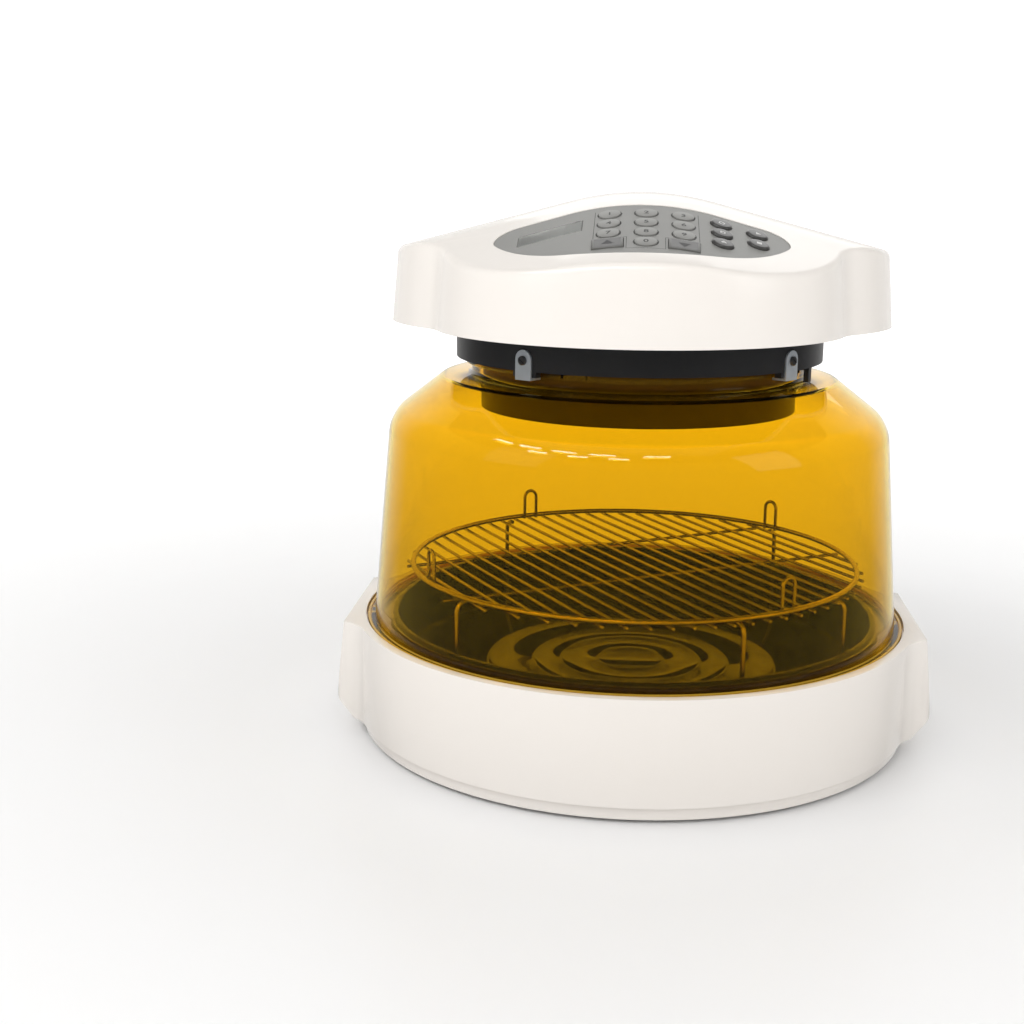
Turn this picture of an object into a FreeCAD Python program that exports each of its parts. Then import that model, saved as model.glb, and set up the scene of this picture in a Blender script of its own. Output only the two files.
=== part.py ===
import FreeCAD, Part
import math
import os
from functools import lru_cache
from FreeCAD import Vector

# Infrared countertop oven, in millimetres. Z is up and the front is -Y.
# The origin is the middle of the underside of the rubber feet.
# A round base holds a liner pan and a wire rack, an amber dome stands in the base's groove,
# and the power head with its fan, heater and control panel locks onto the dome's neck.

# Base tray
skirt_gap = 2.5
base_height = 77.5
base_foot_radius = 185.8
base_rim_radius = 189.5
base_wall = 3.0
base_rim_bevel = 1.6
groove_depth = 4.3
groove_side_gap = 1.0
collar_gap = 7.6
rib_count = 8
rib_thickness = 2.4

# Carrying handles of the base
handle_reach = 198.0
handle_top_reach = 191.5
handle_half_length = 56.0
handle_corner_round = 9.0
handle_blend = 38.0
handle_lip_height = 22.5
handle_root_height = 11.0
handle_root_reach = 185.0
handle_lip_round = 5.0

# Rubber feet
foot_count = 4
foot_circle_radius = 128.0
foot_radius = 9.0
foot_height = 4.5
foot_post_margin = 1.0
foot_first_angle = 45.0

# Liner pan
pan_floor_height = 39.5
pan_wall = 1.2
pan_seat_gap = 1.3
pan_mouth_gap = 1.5
pan_corner_bevel = 2.5
pan_bead_height = 2.0
pan_rim_inset = 2.0
pan_ring_height = 0.9
pan_ring_width = 5.0
pan_ring_shares = (0.30, 0.62)

# Wire rack
rack_height = 112.1
rack_hoop_radius = 151.0
hoop_wire = 3.5
bar_wire = 2.2
bar_pitch = 12.2
bar_count = 24
bar_tip_reach = 4.5
bar_direction = -60.0
cross_bar_offsets = (-30.0, 60.0)
leg_wire = 3.0
leg_reach = 4.5
leg_bend = 6.0
leg_angles = (-43.7, 25.4, 58.7, 136.3, 219.2)
loop_wire = 2.4
loop_width = 10.0
loop_height = 20.0
loop_bend = 3.6
loop_weld_gap = 0.2
loop_angles = (-61.0, 39.7, 135.8, 213.0)

# Dome
dome_wall = 3.0
flange_radius = 182.4
flange_thickness = 2.5
dome_foot_radius = 177.6
shoulder_radius = 165.6
shoulder_height = 213.4
shoulder_bevel = 7.0
plateau_radius = 130.6
plateau_height = 240.4
plateau_bevel = 4.0
plateau_rise = 1.6
neck_radius = 111.0
neck_above_lip = 6.0
lip_radius = 115.5
lip_thickness = 3.5
lip_gap_width = 16.0

# Power head, outer form
head_height = 359.5
ring_radius = 121.2
ring_foot_height = 252.8
ring_wall = 4.0
seat_thickness = 3.0
cover_foot_height = 275.5
cover_wall = 3.0
cover_draft = 5.0
cover_edge_round = 6.0
front_lobe_radius = 129.0
front_lobe_centre = 50.0
rear_lobe_radius = 128.0
rear_lobe_centre = 22.0
wing_radius = 122.0
wing_centre_x = 44.0
wing_centre_y = 10.0
wing_reach = 162.5
wing_corner_round = 12.0
wing_blend = 40.0

# Crown of the head: one arched profile swept along another
crown_arch_radius = 174.0
crown_arch_slope = 14.8
crown_ridge_radius = 100.0
crown_ridge_slope = 18.3
crown_ridge_front = 45.0
crown_ridge_rear = 15.0
crown_half_span = 200.0
crown_depth = 90.0

# Control panel in the crown's front slope
panel_arc_radius = 95.5
panel_arc_centre = 63.0
panel_back = 83.0
panel_corner_round = 15.0
panel_sink = 0.4
panel_thickness = 1.2
panel_side_gap = 0.2
panel_ledge = 3.5
membrane_thickness = 1.6
membrane_side_gap = 0.3

# Keys and display
key_radius = 6.5
key_side_gap = 0.3
key_side_count = 16
key_proud = 0.3
function_key_proud = 1.3
key_travel = 0.4
pocket_spare = 0.15
well_margin = 1.0
keypad_x = 2.8
key_pitch_x = 21.7
key_pitch_y = 15.0
key_row_y = -96.6
arrow_key_width = 18.0
arrow_key_length = 15.0
arrow_key_y = -142.0
function_key_x = 46.8
function_pitch_x = 21.2
display_x = -53.8
display_y = -107.3
display_width = 37.0
display_length = 15.0
display_frame = 1.5
display_depth = 6.0
display_gap = 0.2

# Lower housing and boards in the head
base_plate_thickness = 3.0
base_plate_lift = 1.0
base_plate_side_gap = 0.4
board_height = 300.0
board_half_width = 56.0
board_front = 146.0
board_back = 96.0
board_thickness = 1.6
board_post_radius = 3.5
board_post_inset = 5.0

# Heater can hanging into the dome
can_radius = 104.5
can_wall = 1.0
can_foot_height = 219.1
can_lip_width = 8.0
throat_radius = 96.0
bracket_thickness = 1.5
bracket_reach = 106.0
bracket_width = 70.0
insulation_side = 130.0
reflector_height = 252.0
reflector_wall = 0.8
element_radius = 79.0
element_tube = 6.5
element_height = 236.0
element_opening = 30.0
element_bend = 8.0
element_length_count = 22
terminal_above_plate = 6.0
clamp_count = 3
clamp_width = 4.0
clamp_sheet = 1.2
clamp_gap = 0.3
guard_wire = 2.4
guard_wire_count = 7
guard_pitch = 25.0

# Motor and fans
shaft_radius = 3.0
bearing_gap = 0.05
motor_height = 34.0
motor_stack_length = 56.0
motor_stack_width = 50.0
motor_bridge_height = 6.0
motor_bridge_width = 18.0
motor_coil_width = 20.0
motor_coil_margin = 3.0
motor_boss_radius = 9.0
motor_boss_height = 4.0
convection_fan_radius = 60.0
convection_hub_radius = 9.0
convection_blade_height = 9.0
convection_blade_count = 8
fan_disc_thickness = 1.0
fan_blade_thickness = 1.0
cooling_fan_radius = 40.0
cooling_hub_radius = 10.0
cooling_blade_height = 12.0
cooling_blade_count = 7
cooling_blade_pitch = 32.0
cooling_fan_gap = 3.0
shaft_below_fan = 3.0
shaft_above_fan = 1.0
blade_start_share = 0.40
blade_end_share = 0.92
convection_blade_lean = 20.0

# Locks between head and dome
lock_angles = (-34.5, 50.2, 130.0, 215.0)
lock_turn = 15.0
lock_width = 12.0
lock_sheet = 1.3
lock_top_height = 266.0
lock_hook_thickness = 1.5
lock_hook_gap = 0.3
lock_hook_reach = 112.5
lock_screw_height = 259.5
lock_lug_width = 17.5
lock_lug_gap = 0.7
stop_angle = 65.0
stop_width = 5.0
stop_drop = 9.5
stop_thickness = 3.3
screw_head_radius = 2.9
screw_head_height = 1.8
screw_radius = 1.6
screw_length = 6.0

# Cover screws, vents, cord gland and small electrical pieces
cover_screw_places = ((116.0, -66.0), (-116.0, -66.0), (112.0, 62.0), (-112.0, 62.0))
cover_boss_radius = 5.0
vent_count = 11
vent_width = 3.0
vent_height = 18.0
vent_pitch = 7.0
vent_foot_height = 287.0
gland_radius = 6.5
gland_bore_radius = 3.6
gland_flange_radius = 9.0
gland_flange_thickness = 2.0
gland_flange_gap = 1.0
gland_out = 8.0
gland_angle = 25.0
gland_height = 291.0
thermostat_radius = 8.0
thermostat_height = 9.0
thermostat_tab_width = 3.0
thermostat_place = (70.0, 22.0)
terminal_length = 28.0
terminal_width = 12.0
terminal_height = 11.0
terminal_place = (74.0, 101.0)

# Shared allowances
overrun = 5.0
body_gap = 0.3
least_length = 0.05
corner_share = 0.48
wire_side_count = 6
bend_step_count = 3
steep_angle = 45.0

# Heights and radii that follow from the sizes above
groove_height = base_height - groove_depth
groove_outer = flange_radius + groove_side_gap
collar_outer = dome_foot_radius - dome_wall - collar_gap
collar_inner = collar_outer - base_wall
bowl_floor_height = pan_floor_height - pan_wall - pan_seat_gap
pan_outer = collar_inner - pan_mouth_gap
pan_inner = pan_outer - pan_wall
lip_top = ring_foot_height
lip_foot = lip_top - lip_thickness
neck_top = lip_top + neck_above_lip
plate_foot = cover_foot_height + base_plate_lift
plate_top = plate_foot + base_plate_thickness
bracket_top = plate_top + bracket_thickness
motor_top = bracket_top + motor_height
fan_foot = element_height - convection_blade_height / 2
cooling_foot = motor_top + motor_boss_height + cooling_fan_gap
shaft_foot = fan_foot - shaft_below_fan
shaft_top = cooling_foot + cooling_blade_height + shaft_above_fan

UP = Vector(0, 0, 1)
ORIGIN = Vector(0, 0, 0)


def flat(x, y):
    return Vector(x, y, 0)


def upright(r, z):
    return Vector(r, 0, z)


def rounded_wire(corners, place):
    """Closed wire through corners (u, v, radius). A radius gives an arc, and a negative one a
    straight bevel that starts this far from the corner."""
    count = len(corners)
    stations = []
    for index, (u, v, radius) in enumerate(corners):
        here = Vector(u, v, 0)
        if radius == 0:
            stations.append((here, None, here))
            continue
        back = Vector(corners[index - 1][0], corners[index - 1][1], 0) - here
        ahead = Vector(corners[(index + 1) % count][0], corners[(index + 1) % count][1], 0) - here
        half_angle = back.getAngle(ahead) / 2
        wanted = radius / math.tan(half_angle) if radius > 0 else -radius
        reach = min(wanted, corner_share * back.Length, corner_share * ahead.Length)
        back.normalize()
        ahead.normalize()
        middle = None
        if radius > 0:
            true_radius = reach * math.tan(half_angle)
            inward = (back + ahead).normalize()
            middle = here + inward * (true_radius / math.sin(half_angle) - true_radius)
        stations.append((here + back * reach, middle, here + ahead * reach))
    edges = []
    for index, (start, middle, end) in enumerate(stations):
        points = [place(point.x, point.y) for point in (start, end, stations[(index + 1) % count][0])]
        if middle is not None:
            edges.append(Part.Arc(points[0], place(middle.x, middle.y), points[1]).toShape())
        elif start != end:
            edges.append(Part.makeLine(points[0], points[1]))
        edges.append(Part.makeLine(points[1], points[2]))
    return Part.Wire(edges)


def flat_sided(count, half_width, place):
    """Face with equal flat sides, all at one distance from its centre."""
    reach = half_width / math.cos(math.pi / count)
    turns = [2 * math.pi * index / count for index in range(count)]
    corners = [place(reach * math.cos(turn), reach * math.sin(turn)) for turn in turns]
    return Part.Face(Part.makePolygon(corners + corners[:1]))


def turned(corners):
    """Solid turned about the Z axis from corners (radius, height, rounding)."""
    return Part.Face(rounded_wire(corners, upright)).revolve(ORIGIN, UP, 360)


def cylinder(radius, foot, top, x=0.0, y=0.0):
    return Part.makeCylinder(radius, top - foot, Vector(x, y, foot))


def tube(inner, outer, foot, top):
    return cylinder(outer, foot, top).cut(cylinder(inner, foot - overrun, top + overrun))


def block(x0, x1, y0, y1, z0, z1):
    return Part.makeBox(x1 - x0, y1 - y0, z1 - z0, Vector(x0, y0, z0))


def prism(face, foot, top):
    """Vertical prism on an outline that lies at zero height."""
    solid = face.extrude(UP * (top - foot))
    solid.translate(UP * foot)
    return solid


def fused(shapes):
    return shapes[0].multiFuse(shapes[1:]).removeSplitter()


def spun(shape, angle):
    """Copy turned about Z, with the angle counted from the front towards the right side."""
    copy = shape.copy()
    copy.rotate(ORIGIN, UP, angle)
    return copy


def lowest_face(solid):
    return min(solid.Faces, key=lambda face: face.CenterOfMass.z)


def joined_outline(discs):
    """One outline at zero height round a row of overlapping solids."""
    return lowest_face(fused(discs))


def softened(face, outside, inside):
    """Outline with its outward corners rounded by one radius and its inward ones by another."""
    shrunk = face.makeOffset2D(-outside).Faces[0].makeOffset2D(outside).Faces[0]
    if inside == 0:
        return shrunk
    return shrunk.makeOffset2D(inside).Faces[0].makeOffset2D(-inside).Faces[0]


def front_piece(width, inner, outer, foot, top):
    """Upright piece at the front, from one radius to another, with curved front and back faces."""
    slab = block(-width / 2, width / 2, -outer - overrun, 0, foot, top)
    return slab.common(tube(inner, outer, foot, top))


# Base tray: one moulding with skirt, dome groove, pan bowl, handles, ribs and foot posts

def skirt_radius(height, inset):
    lean = (base_rim_radius - base_foot_radius) / (base_height - skirt_gap)
    return base_foot_radius + lean * (height - skirt_gap) - inset


def handle_bulge(inset):
    """Form of both handles, drawn in by an inset for the hollow inside them."""
    disc = cylinder(base_rim_radius - inset, 0, base_height)
    bar = block(-handle_reach + inset, handle_reach - inset,
                -handle_half_length + inset, handle_half_length - inset, 0, base_height)
    outline = softened(joined_outline([disc, bar]), handle_corner_round, handle_blend)
    reach = handle_reach - inset
    top_reach = handle_top_reach - inset
    root = handle_root_reach - inset
    side = rounded_wire(
        [(-top_reach, base_height - inset, 0), (-reach, handle_lip_height, handle_lip_round),
         (-root, handle_root_height, 0), (root, handle_root_height, 0),
         (reach, handle_lip_height, handle_lip_round), (top_reach, base_height - inset, 0)], upright)
    slab = Part.Face(side).extrude(Vector(0, 2 * base_rim_radius, 0))
    slab.translate(Vector(0, -base_rim_radius, 0))
    return prism(outline, 0, base_height).common(slab)


def base_tray():
    ledge_foot = groove_height - base_wall
    outer = turned([
        (0, skirt_gap, 0), (base_foot_radius, skirt_gap, 0),
        (base_rim_radius, base_height, -base_rim_bevel), (0, base_height, 0)])
    outer = outer.fuse(handle_bulge(0))
    hollow = turned([
        (0, skirt_gap - overrun, 0), (skirt_radius(skirt_gap, base_wall), skirt_gap - overrun, 0),
        (skirt_radius(skirt_gap, base_wall), skirt_gap, 0),
        (skirt_radius(ledge_foot, base_wall), ledge_foot, 0),
        (0, ledge_foot, 0)])
    handle_hollow = handle_bulge(base_wall).common(
        cylinder(handle_reach, handle_root_height, ledge_foot))
    bowl_shell = cylinder(collar_outer, bowl_floor_height - base_wall, base_height)
    bowl = cylinder(collar_inner, bowl_floor_height, base_height + overrun)
    groove = tube(collar_outer, groove_outer, groove_height, base_height + overrun)
    ribs = [spun(block(-rib_thickness / 2, rib_thickness / 2,
                       -skirt_radius(bowl_floor_height, base_wall) - base_wall / 2, -collar_inner,
                       bowl_floor_height, ledge_foot + base_wall / 2), index * 360 / rib_count)
            for index in range(rib_count)]
    posts = [foot_post(index) for index in range(foot_count)]
    tray = outer.cut(fused([hollow, handle_hollow]))
    return tray.fuse(bowl_shell).fuse(ribs + posts).cut(bowl).cut(groove).removeSplitter()


def foot_place(index):
    angle = math.radians(foot_first_angle + index * 360 / foot_count)
    return foot_circle_radius * math.cos(angle), foot_circle_radius * math.sin(angle)


def foot_post(index):
    x, y = foot_place(index)
    return cylinder(foot_radius + foot_post_margin, foot_height, bowl_floor_height - base_wall / 2, x, y)


def feet():
    places = [foot_place(index) for index in range(foot_count)]
    return [cylinder(foot_radius, 0, foot_height, x, y) for x, y in places]


# Liner pan: pressed and enamelled steel, hung by its rim on the base's collar

def liner_pan():
    rim_top = base_height + pan_bead_height
    outer = turned([
        (0, pan_floor_height - pan_wall, 0),
        (pan_outer, pan_floor_height - pan_wall, -pan_corner_bevel),
        (pan_outer, base_height, 0), (collar_outer - pan_rim_inset, base_height, 0),
        (collar_outer - pan_rim_inset, rim_top, 0), (0, rim_top, 0)])
    inner = turned([
        (0, pan_floor_height, 0), (pan_inner, pan_floor_height, -pan_corner_bevel),
        (pan_inner, rim_top + overrun, 0), (0, rim_top + overrun, 0)])
    beads = []
    for share in pan_ring_shares:
        middle = pan_inner * share
        beads.append(turned([
            (middle - pan_ring_width / 2, pan_floor_height - pan_wall / 2, 0),
            (middle + pan_ring_width / 2, pan_floor_height - pan_wall / 2, 0),
            (middle, pan_floor_height + pan_ring_height, 0)]))
    return outer.cut(inner).fuse(beads).removeSplitter()


# Wire rack: hoop, bars under it, cross bars under the bars, legs and lifting loops

def bar_height():
    return rack_height - hoop_wire / 2 - bar_wire / 2


def rack_hoop():
    section = flat_sided(wire_side_count, hoop_wire / 2, lambda u, v: upright(rack_hoop_radius + u,
                                                                              rack_height + v))
    return section.revolve(ORIGIN, UP, 360)


def straight_wire(diameter, reach, offset, height, direction):
    """Level wire at an offset from the middle, with both tips at one reach from it."""
    half_length = math.sqrt(reach ** 2 - offset ** 2)
    section = flat_sided(wire_side_count, diameter / 2,
                         lambda u, v: Vector(-half_length, offset + u, height + v))
    return spun(section.extrude(Vector(2 * half_length, 0, 0)), direction)


def rack_bars():
    first = -(bar_count - 1) / 2
    return [straight_wire(bar_wire, rack_hoop_radius + bar_tip_reach, (first + index) * bar_pitch,
                          bar_height(), bar_direction) for index in range(bar_count)]


def rack_cross_bars():
    return [straight_wire(bar_wire, rack_hoop_radius + bar_tip_reach, offset, bar_height() - bar_wire,
                          bar_direction + 90) for offset in cross_bar_offsets]


def bend_points(corners):
    """Points along a wire from its corners (x, y, z, bend radius), with each bend in short lengths."""
    points = [Vector(*corners[0][:3])]
    for index in range(1, len(corners) - 1):
        corner = Vector(*corners[index][:3])
        back = (Vector(*corners[index - 1][:3]) - corner).normalize()
        ahead = (Vector(*corners[index + 1][:3]) - corner).normalize()
        between = back.getAngle(ahead)
        radius = corners[index][3]
        start = corner + back * (radius / math.tan(between / 2))
        centre = corner + (back + ahead).normalize() * (radius / math.sin(between / 2))
        for step in range(bend_step_count + 1):
            turn = (math.pi - between) * step / bend_step_count
            points.append(centre + (start - centre) * math.cos(turn) - back * radius * math.sin(turn))
    points.append(Vector(*corners[-1][:3]))
    return points


def bent_wire(points, diameter, facing):
    """Six-sided wire along points, with a flat side that faces one way at its start."""
    across = (points[1] - points[0]).normalize().cross(facing)
    section = flat_sided(wire_side_count, diameter / 2,
                         lambda u, v: points[0] + across * u + facing * v)
    return Part.makePolygon(points).makePipeShell([section.OuterWire], True, False, 1)


def rack_legs():
    """Legs that leave the hoop's underside, step outwards and stand on the pan."""
    level = rack_height - hoop_wire / 2 - leg_wire / 2
    start = rack_hoop_radius - leg_wire
    outside = rack_hoop_radius + leg_reach
    points = bend_points([(0, -start, level, 0), (0, -outside, level, leg_bend),
                          (0, -outside, pan_floor_height, 0)])
    leg = bent_wire(points, leg_wire, UP)
    return [spun(leg, angle) for angle in leg_angles]


def rack_loops():
    """Upright loops inside the hoop, to lift the rack by or to stand it on upside down."""
    hoop_corner = hoop_wire / 2 / math.cos(math.pi / wire_side_count)
    inside = rack_hoop_radius - hoop_corner - loop_wire / 2 - loop_weld_gap
    foot = rack_height - hoop_wire / 2 + body_gap
    half = loop_width / 2
    top = rack_height + loop_height
    points = bend_points([(-half, -inside, foot, 0), (-half, -inside, top, loop_bend),
                          (half, -inside, top, loop_bend), (half, -inside, foot, 0)])
    loop = bent_wire(points, loop_wire, Vector(0, 1, 0))
    return [spun(loop, angle) for angle in loop_angles]


# Dome: one amber moulding with flange, shoulder, plateau, neck and bayonet lip

def dome():
    flange_top = groove_height + flange_thickness
    neck_root = plateau_height + plateau_rise
    outer = turned([
        (0, groove_height, 0), (flange_radius, groove_height, 0), (flange_radius, flange_top, 0),
        (dome_foot_radius, flange_top, 0), (shoulder_radius, shoulder_height, -shoulder_bevel),
        (plateau_radius, plateau_height, -plateau_bevel), (neck_radius, neck_root, 0),
        (neck_radius, neck_top, 0), (0, neck_top, 0)])
    inner = turned([
        (0, groove_height - overrun, 0), (dome_foot_radius - dome_wall, groove_height - overrun, 0),
        (dome_foot_radius - dome_wall, groove_height, 0),
        (shoulder_radius - dome_wall, shoulder_height - dome_wall / 2, -shoulder_bevel),
        (plateau_radius - dome_wall / 2, plateau_height - dome_wall, -plateau_bevel),
        (neck_radius - dome_wall, neck_root - dome_wall, 0),
        (neck_radius - dome_wall, neck_top + overrun, 0), (0, neck_top + overrun, 0)])
    lip = tube(neck_radius - dome_wall / 2, lip_radius, lip_foot, lip_top)
    gaps = [spun(block(-lip_gap_width / 2, lip_gap_width / 2, -lip_radius - overrun, -neck_radius,
                       lip_foot - overrun, lip_top + overrun), angle + lock_turn)
            for angle in lock_angles]
    return outer.cut(inner).fuse(lip.cut(gaps)).removeSplitter()


# Crown surface of the head

def rolled_drop(distance, radius, slope_degrees):
    """Drop below the crest of an arc that runs on into a straight slope."""
    slope = math.radians(slope_degrees)
    straight_from = radius * math.sin(slope)
    if distance <= 0:
        return 0.0
    if distance <= straight_from:
        return radius - math.sqrt(radius ** 2 - distance ** 2)
    return radius * (1 - math.cos(slope)) + (distance - straight_from) * math.tan(slope)


def slope_frame():
    """Where the front slope leaves the ridge's arc, its way down, and the way square to it."""
    slope = math.radians(crown_ridge_slope)
    start = Vector(0, -crown_ridge_front - crown_ridge_radius * math.sin(slope),
                   head_height - crown_ridge_radius * (1 - math.cos(slope)))
    return (start, Vector(0, -math.cos(slope), -math.sin(slope)),
            Vector(0, -math.sin(slope), math.cos(slope)))


def crown_point(x, y):
    """Point of the crown's front slope over a place in plan."""
    start, downhill, square = slope_frame()
    drop = rolled_drop(abs(x), crown_arch_radius, crown_arch_slope)
    along = (y - start.y + square.y * drop) / downhill.y
    return start + Vector(x, 0, 0) + downhill * along - square * drop


def crown_normal(x):
    """Outward normal of the crown's front slope at a place across it."""
    steepest = math.sin(math.radians(crown_arch_slope))
    lean = math.asin(min(abs(x) / crown_arch_radius, steepest))
    return Vector(math.copysign(math.sin(lean), x), 0, 0) + slope_frame()[2] * math.cos(lean)


def crown_profile():
    """Arched section of the crown with its crest at full height, over a flat bottom."""
    turn = crown_arch_radius * math.sin(math.radians(crown_arch_slope))
    right_turn = upright(turn, head_height - rolled_drop(turn, crown_arch_radius, crown_arch_slope))
    left_turn = upright(-turn, right_turn.z)
    right = upright(crown_half_span,
                    head_height - rolled_drop(crown_half_span, crown_arch_radius, crown_arch_slope))
    left = upright(-crown_half_span, right.z)
    low = head_height - crown_depth
    below = Part.makePolygon([right_turn, right, upright(right.x, low), upright(left.x, low),
                              left, left_turn])
    crest = Part.Arc(left_turn, upright(0, head_height), right_turn).toShape()
    return Part.Face(Part.Wire(below.Edges + [crest]))


@lru_cache(maxsize=None)
def crown_form():
    """All that lies under the crown: its section carried along the ridge line, from a level
    middle round an arc and down a straight slope at the front and at the rear."""
    sideways = Vector(1, 0, 0)
    level = crown_profile()
    level.translate(Vector(0, -crown_ridge_front, 0))
    pieces = [level.extrude(Vector(0, crown_ridge_front + crown_ridge_rear, 0))]
    for end, angle in ((-crown_ridge_front, crown_ridge_slope), (crown_ridge_rear, -crown_ridge_slope)):
        section = crown_profile()
        section.translate(Vector(0, end, 0))
        pivot = Vector(0, end, head_height - crown_ridge_radius)
        pieces.append(section.revolve(pivot, sideways, angle))
        section.rotate(pivot, sideways, angle)
        turn = math.radians(angle)
        downhill = Vector(0, -math.copysign(math.cos(turn), angle), -abs(math.sin(turn)))
        pieces.append(section.extrude(downhill * crown_half_span))
    return fused(pieces)


def crown_body(lift):
    """Copy of the crown form, raised or lowered by a lift."""
    body = crown_form().copy()
    body.translate(UP * lift)
    return body


def above_crown(prism_solid, lift):
    return prism_solid.cut(crown_body(lift))


def crown_layer(solid, low, high):
    """The part of a solid between two copies of the crown surface."""
    return solid.common(crown_body(high)).cut(crown_body(low))


# Head cover: white shell with two hand wings and a drafted skirt

def head_outline(inset):
    """Plan of the head at the foot of its skirt: two lobes and two clipped wings."""
    discs = [cylinder(front_lobe_radius, 0, head_height, 0, -front_lobe_centre),
             cylinder(rear_lobe_radius, 0, head_height, 0, rear_lobe_centre)]
    clip = block(-wing_reach, wing_reach, -head_height, head_height, 0, head_height)
    for side in (-1, 1):
        wing = cylinder(wing_radius, 0, head_height, side * wing_centre_x, wing_centre_y)
        discs.append(wing.common(clip))
    outline = softened(joined_outline(discs), wing_corner_round, wing_blend)
    if inset == 0:
        return outline
    return outline.makeOffset2D(-inset).Faces[0]


def drafted_head(inset, foot):
    """Head form up to its highest level, leaning in by the draft."""
    low = head_outline(inset)
    rise = head_height - foot
    high = low.makeOffset2D(-rise * math.tan(math.radians(cover_draft))).Faces[0]
    low_wire = low.OuterWire
    high_wire = high.OuterWire
    low_wire.translate(UP * foot)
    high_wire.translate(UP * head_height)
    return Part.makeLoft([low_wire, high_wire], True, True)


def panel_outline(grow):
    disc = cylinder(panel_arc_radius, 0, head_height, 0, -panel_arc_centre)
    front_half = block(-panel_arc_radius, panel_arc_radius, -panel_arc_centre - panel_arc_radius,
                       -panel_back, 0, head_height)
    outline = softened(lowest_face(disc.common(front_half)), panel_corner_round, 0)
    if grow == 0:
        return outline
    return outline.makeOffset2D(grow).Faces[0]


def panel_prism(grow):
    return prism(panel_outline(grow), plate_top, head_height + overrun)


def vent_slots():
    rear = rear_lobe_centre + rear_lobe_radius
    first = -(vent_count - 1) / 2
    return [block((first + index) * vent_pitch - vent_width / 2,
                  (first + index) * vent_pitch + vent_width / 2,
                  rear / 2, rear + overrun, vent_foot_height, vent_foot_height + vent_height)
            for index in range(vent_count)]


def gland_skirt():
    """Where the cover's rear skirt stands at the height of the gland."""
    lean = (gland_height - cover_foot_height) * math.tan(math.radians(cover_draft))
    return rear_lobe_centre + rear_lobe_radius - lean


def gland_cylinder(radius, start, end):
    """Cylinder square to the rear lobe, measured outwards from the cover's skirt."""
    solid = Part.makeCylinder(radius, end - start, Vector(0, gland_skirt() + start, gland_height),
                              Vector(0, 1, 0))
    solid.rotate(Vector(0, rear_lobe_centre, 0), UP, -gland_angle)
    return solid


def head_cover():
    outer = drafted_head(0, cover_foot_height).common(crown_body(0))
    rim_edges = [edge for edge in outer.Edges
                 if edge.BoundBox.ZMin > cover_foot_height + cover_edge_round
                 and not is_upright(edge)
                 and on_rim(edge)]
    outer = outer.makeFillet(cover_edge_round, rim_edges)
    inner = drafted_head(cover_wall, cover_foot_height).common(crown_body(-cover_wall))
    inner = inner.fuse(prism(head_outline(cover_wall), cover_foot_height - overrun, cover_foot_height))
    bosses = [cylinder(cover_boss_radius, plate_top + body_gap, head_height, x, y)
              for x, y in cover_screw_places]
    bosses = [boss.common(crown_body(-cover_wall / 2)) for boss in bosses]
    shell = outer.cut(inner).fuse([boss.common(outer) for boss in bosses])
    recess = above_crown(panel_prism(panel_side_gap), -panel_sink - panel_thickness)
    opening = panel_prism(-panel_ledge)
    gland_hole = gland_cylinder(gland_radius + panel_side_gap, -gland_out - overrun, overrun)
    pilots = [upright_shank(screw_radius, plate_foot, plate_top + 2 * screw_length, x, y)
              for x, y in cover_screw_places]
    return shell.cut([recess, opening, gland_hole] + pilots + vent_slots()).removeSplitter()


def is_upright(edge):
    direction = edge.tangentAt(edge.FirstParameter)
    return abs(direction.z) > math.cos(math.radians(steep_angle))


def on_rim(edge):
    """True on edges where the crown meets the drafted side."""
    middle = edge.valueAt((edge.FirstParameter + edge.LastParameter) / 2)
    inside = head_outline(cover_wall + (head_height - cover_foot_height)
                          * math.tan(math.radians(cover_draft)))
    return not inside.isInside(Vector(middle.x, middle.y, 0), least_length, True)


# Lower housing: black moulding that closes the head and carries the ring

def lock_lugs():
    lug = front_piece(lock_lug_width, lip_radius + lock_lug_gap, ring_radius,
                      lip_foot, ring_foot_height + seat_thickness)
    stop = front_piece(stop_width, lip_radius + lock_lug_gap,
                       lip_radius + lock_lug_gap + stop_thickness,
                       ring_foot_height - stop_drop, ring_foot_height + seat_thickness)
    return [spun(lug, angle) for angle in lock_angles] + [spun(stop, stop_angle)]


def board_corners():
    across = board_half_width - board_post_inset
    return [(across, -board_front + board_post_inset), (-across, -board_front + board_post_inset),
            (across, -board_back - board_post_inset), (-across, -board_back - board_post_inset)]


def lower_housing():
    plate = prism(head_outline(cover_wall + base_plate_side_gap), plate_foot, plate_top)
    ring = tube(ring_radius - ring_wall, ring_radius, ring_foot_height, plate_foot + base_plate_thickness / 2)
    seat = tube(neck_radius + body_gap, ring_radius, ring_foot_height, ring_foot_height + seat_thickness)
    posts = [cylinder(board_post_radius, plate_foot, board_height, x, y) for x, y in board_corners()]
    housing = fused([plate, ring, seat] + lock_lugs() + posts)
    throat = cylinder(throat_radius, plate_foot - overrun, plate_top + overrun)
    pilots = [upright_shank(screw_radius, plate_foot - overrun, plate_top + overrun, x, y)
              for x, y in cover_screw_places]
    lock_pilots = [spun(radial_shank(screw_radius, ring_radius - ring_wall - overrun,
                                     ring_radius + overrun, lock_screw_height), angle)
                   for angle in lock_angles]
    return housing.cut([throat] + pilots + lock_pilots).removeSplitter()


def radial_cylinder(radius, start, end, height):
    """Cylinder that points to the front, from one radius to another."""
    return Part.makeCylinder(radius, end - start, Vector(0, -start, height), Vector(0, -1, 0))


def radial_shank(radius, start, end, height):
    """Six-sided shank or pilot that points to the front, from one radius to another."""
    section = flat_sided(wire_side_count, radius, lambda u, v: Vector(u, -start, height + v))
    return section.extrude(Vector(0, start - end, 0))


def upright_shank(radius, foot, top, x, y):
    return prism(flat_sided(wire_side_count, radius, lambda u, v: flat(x + u, y + v)), foot, top)


# Zinc locks on the ring, their screws and the cover's screws

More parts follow.
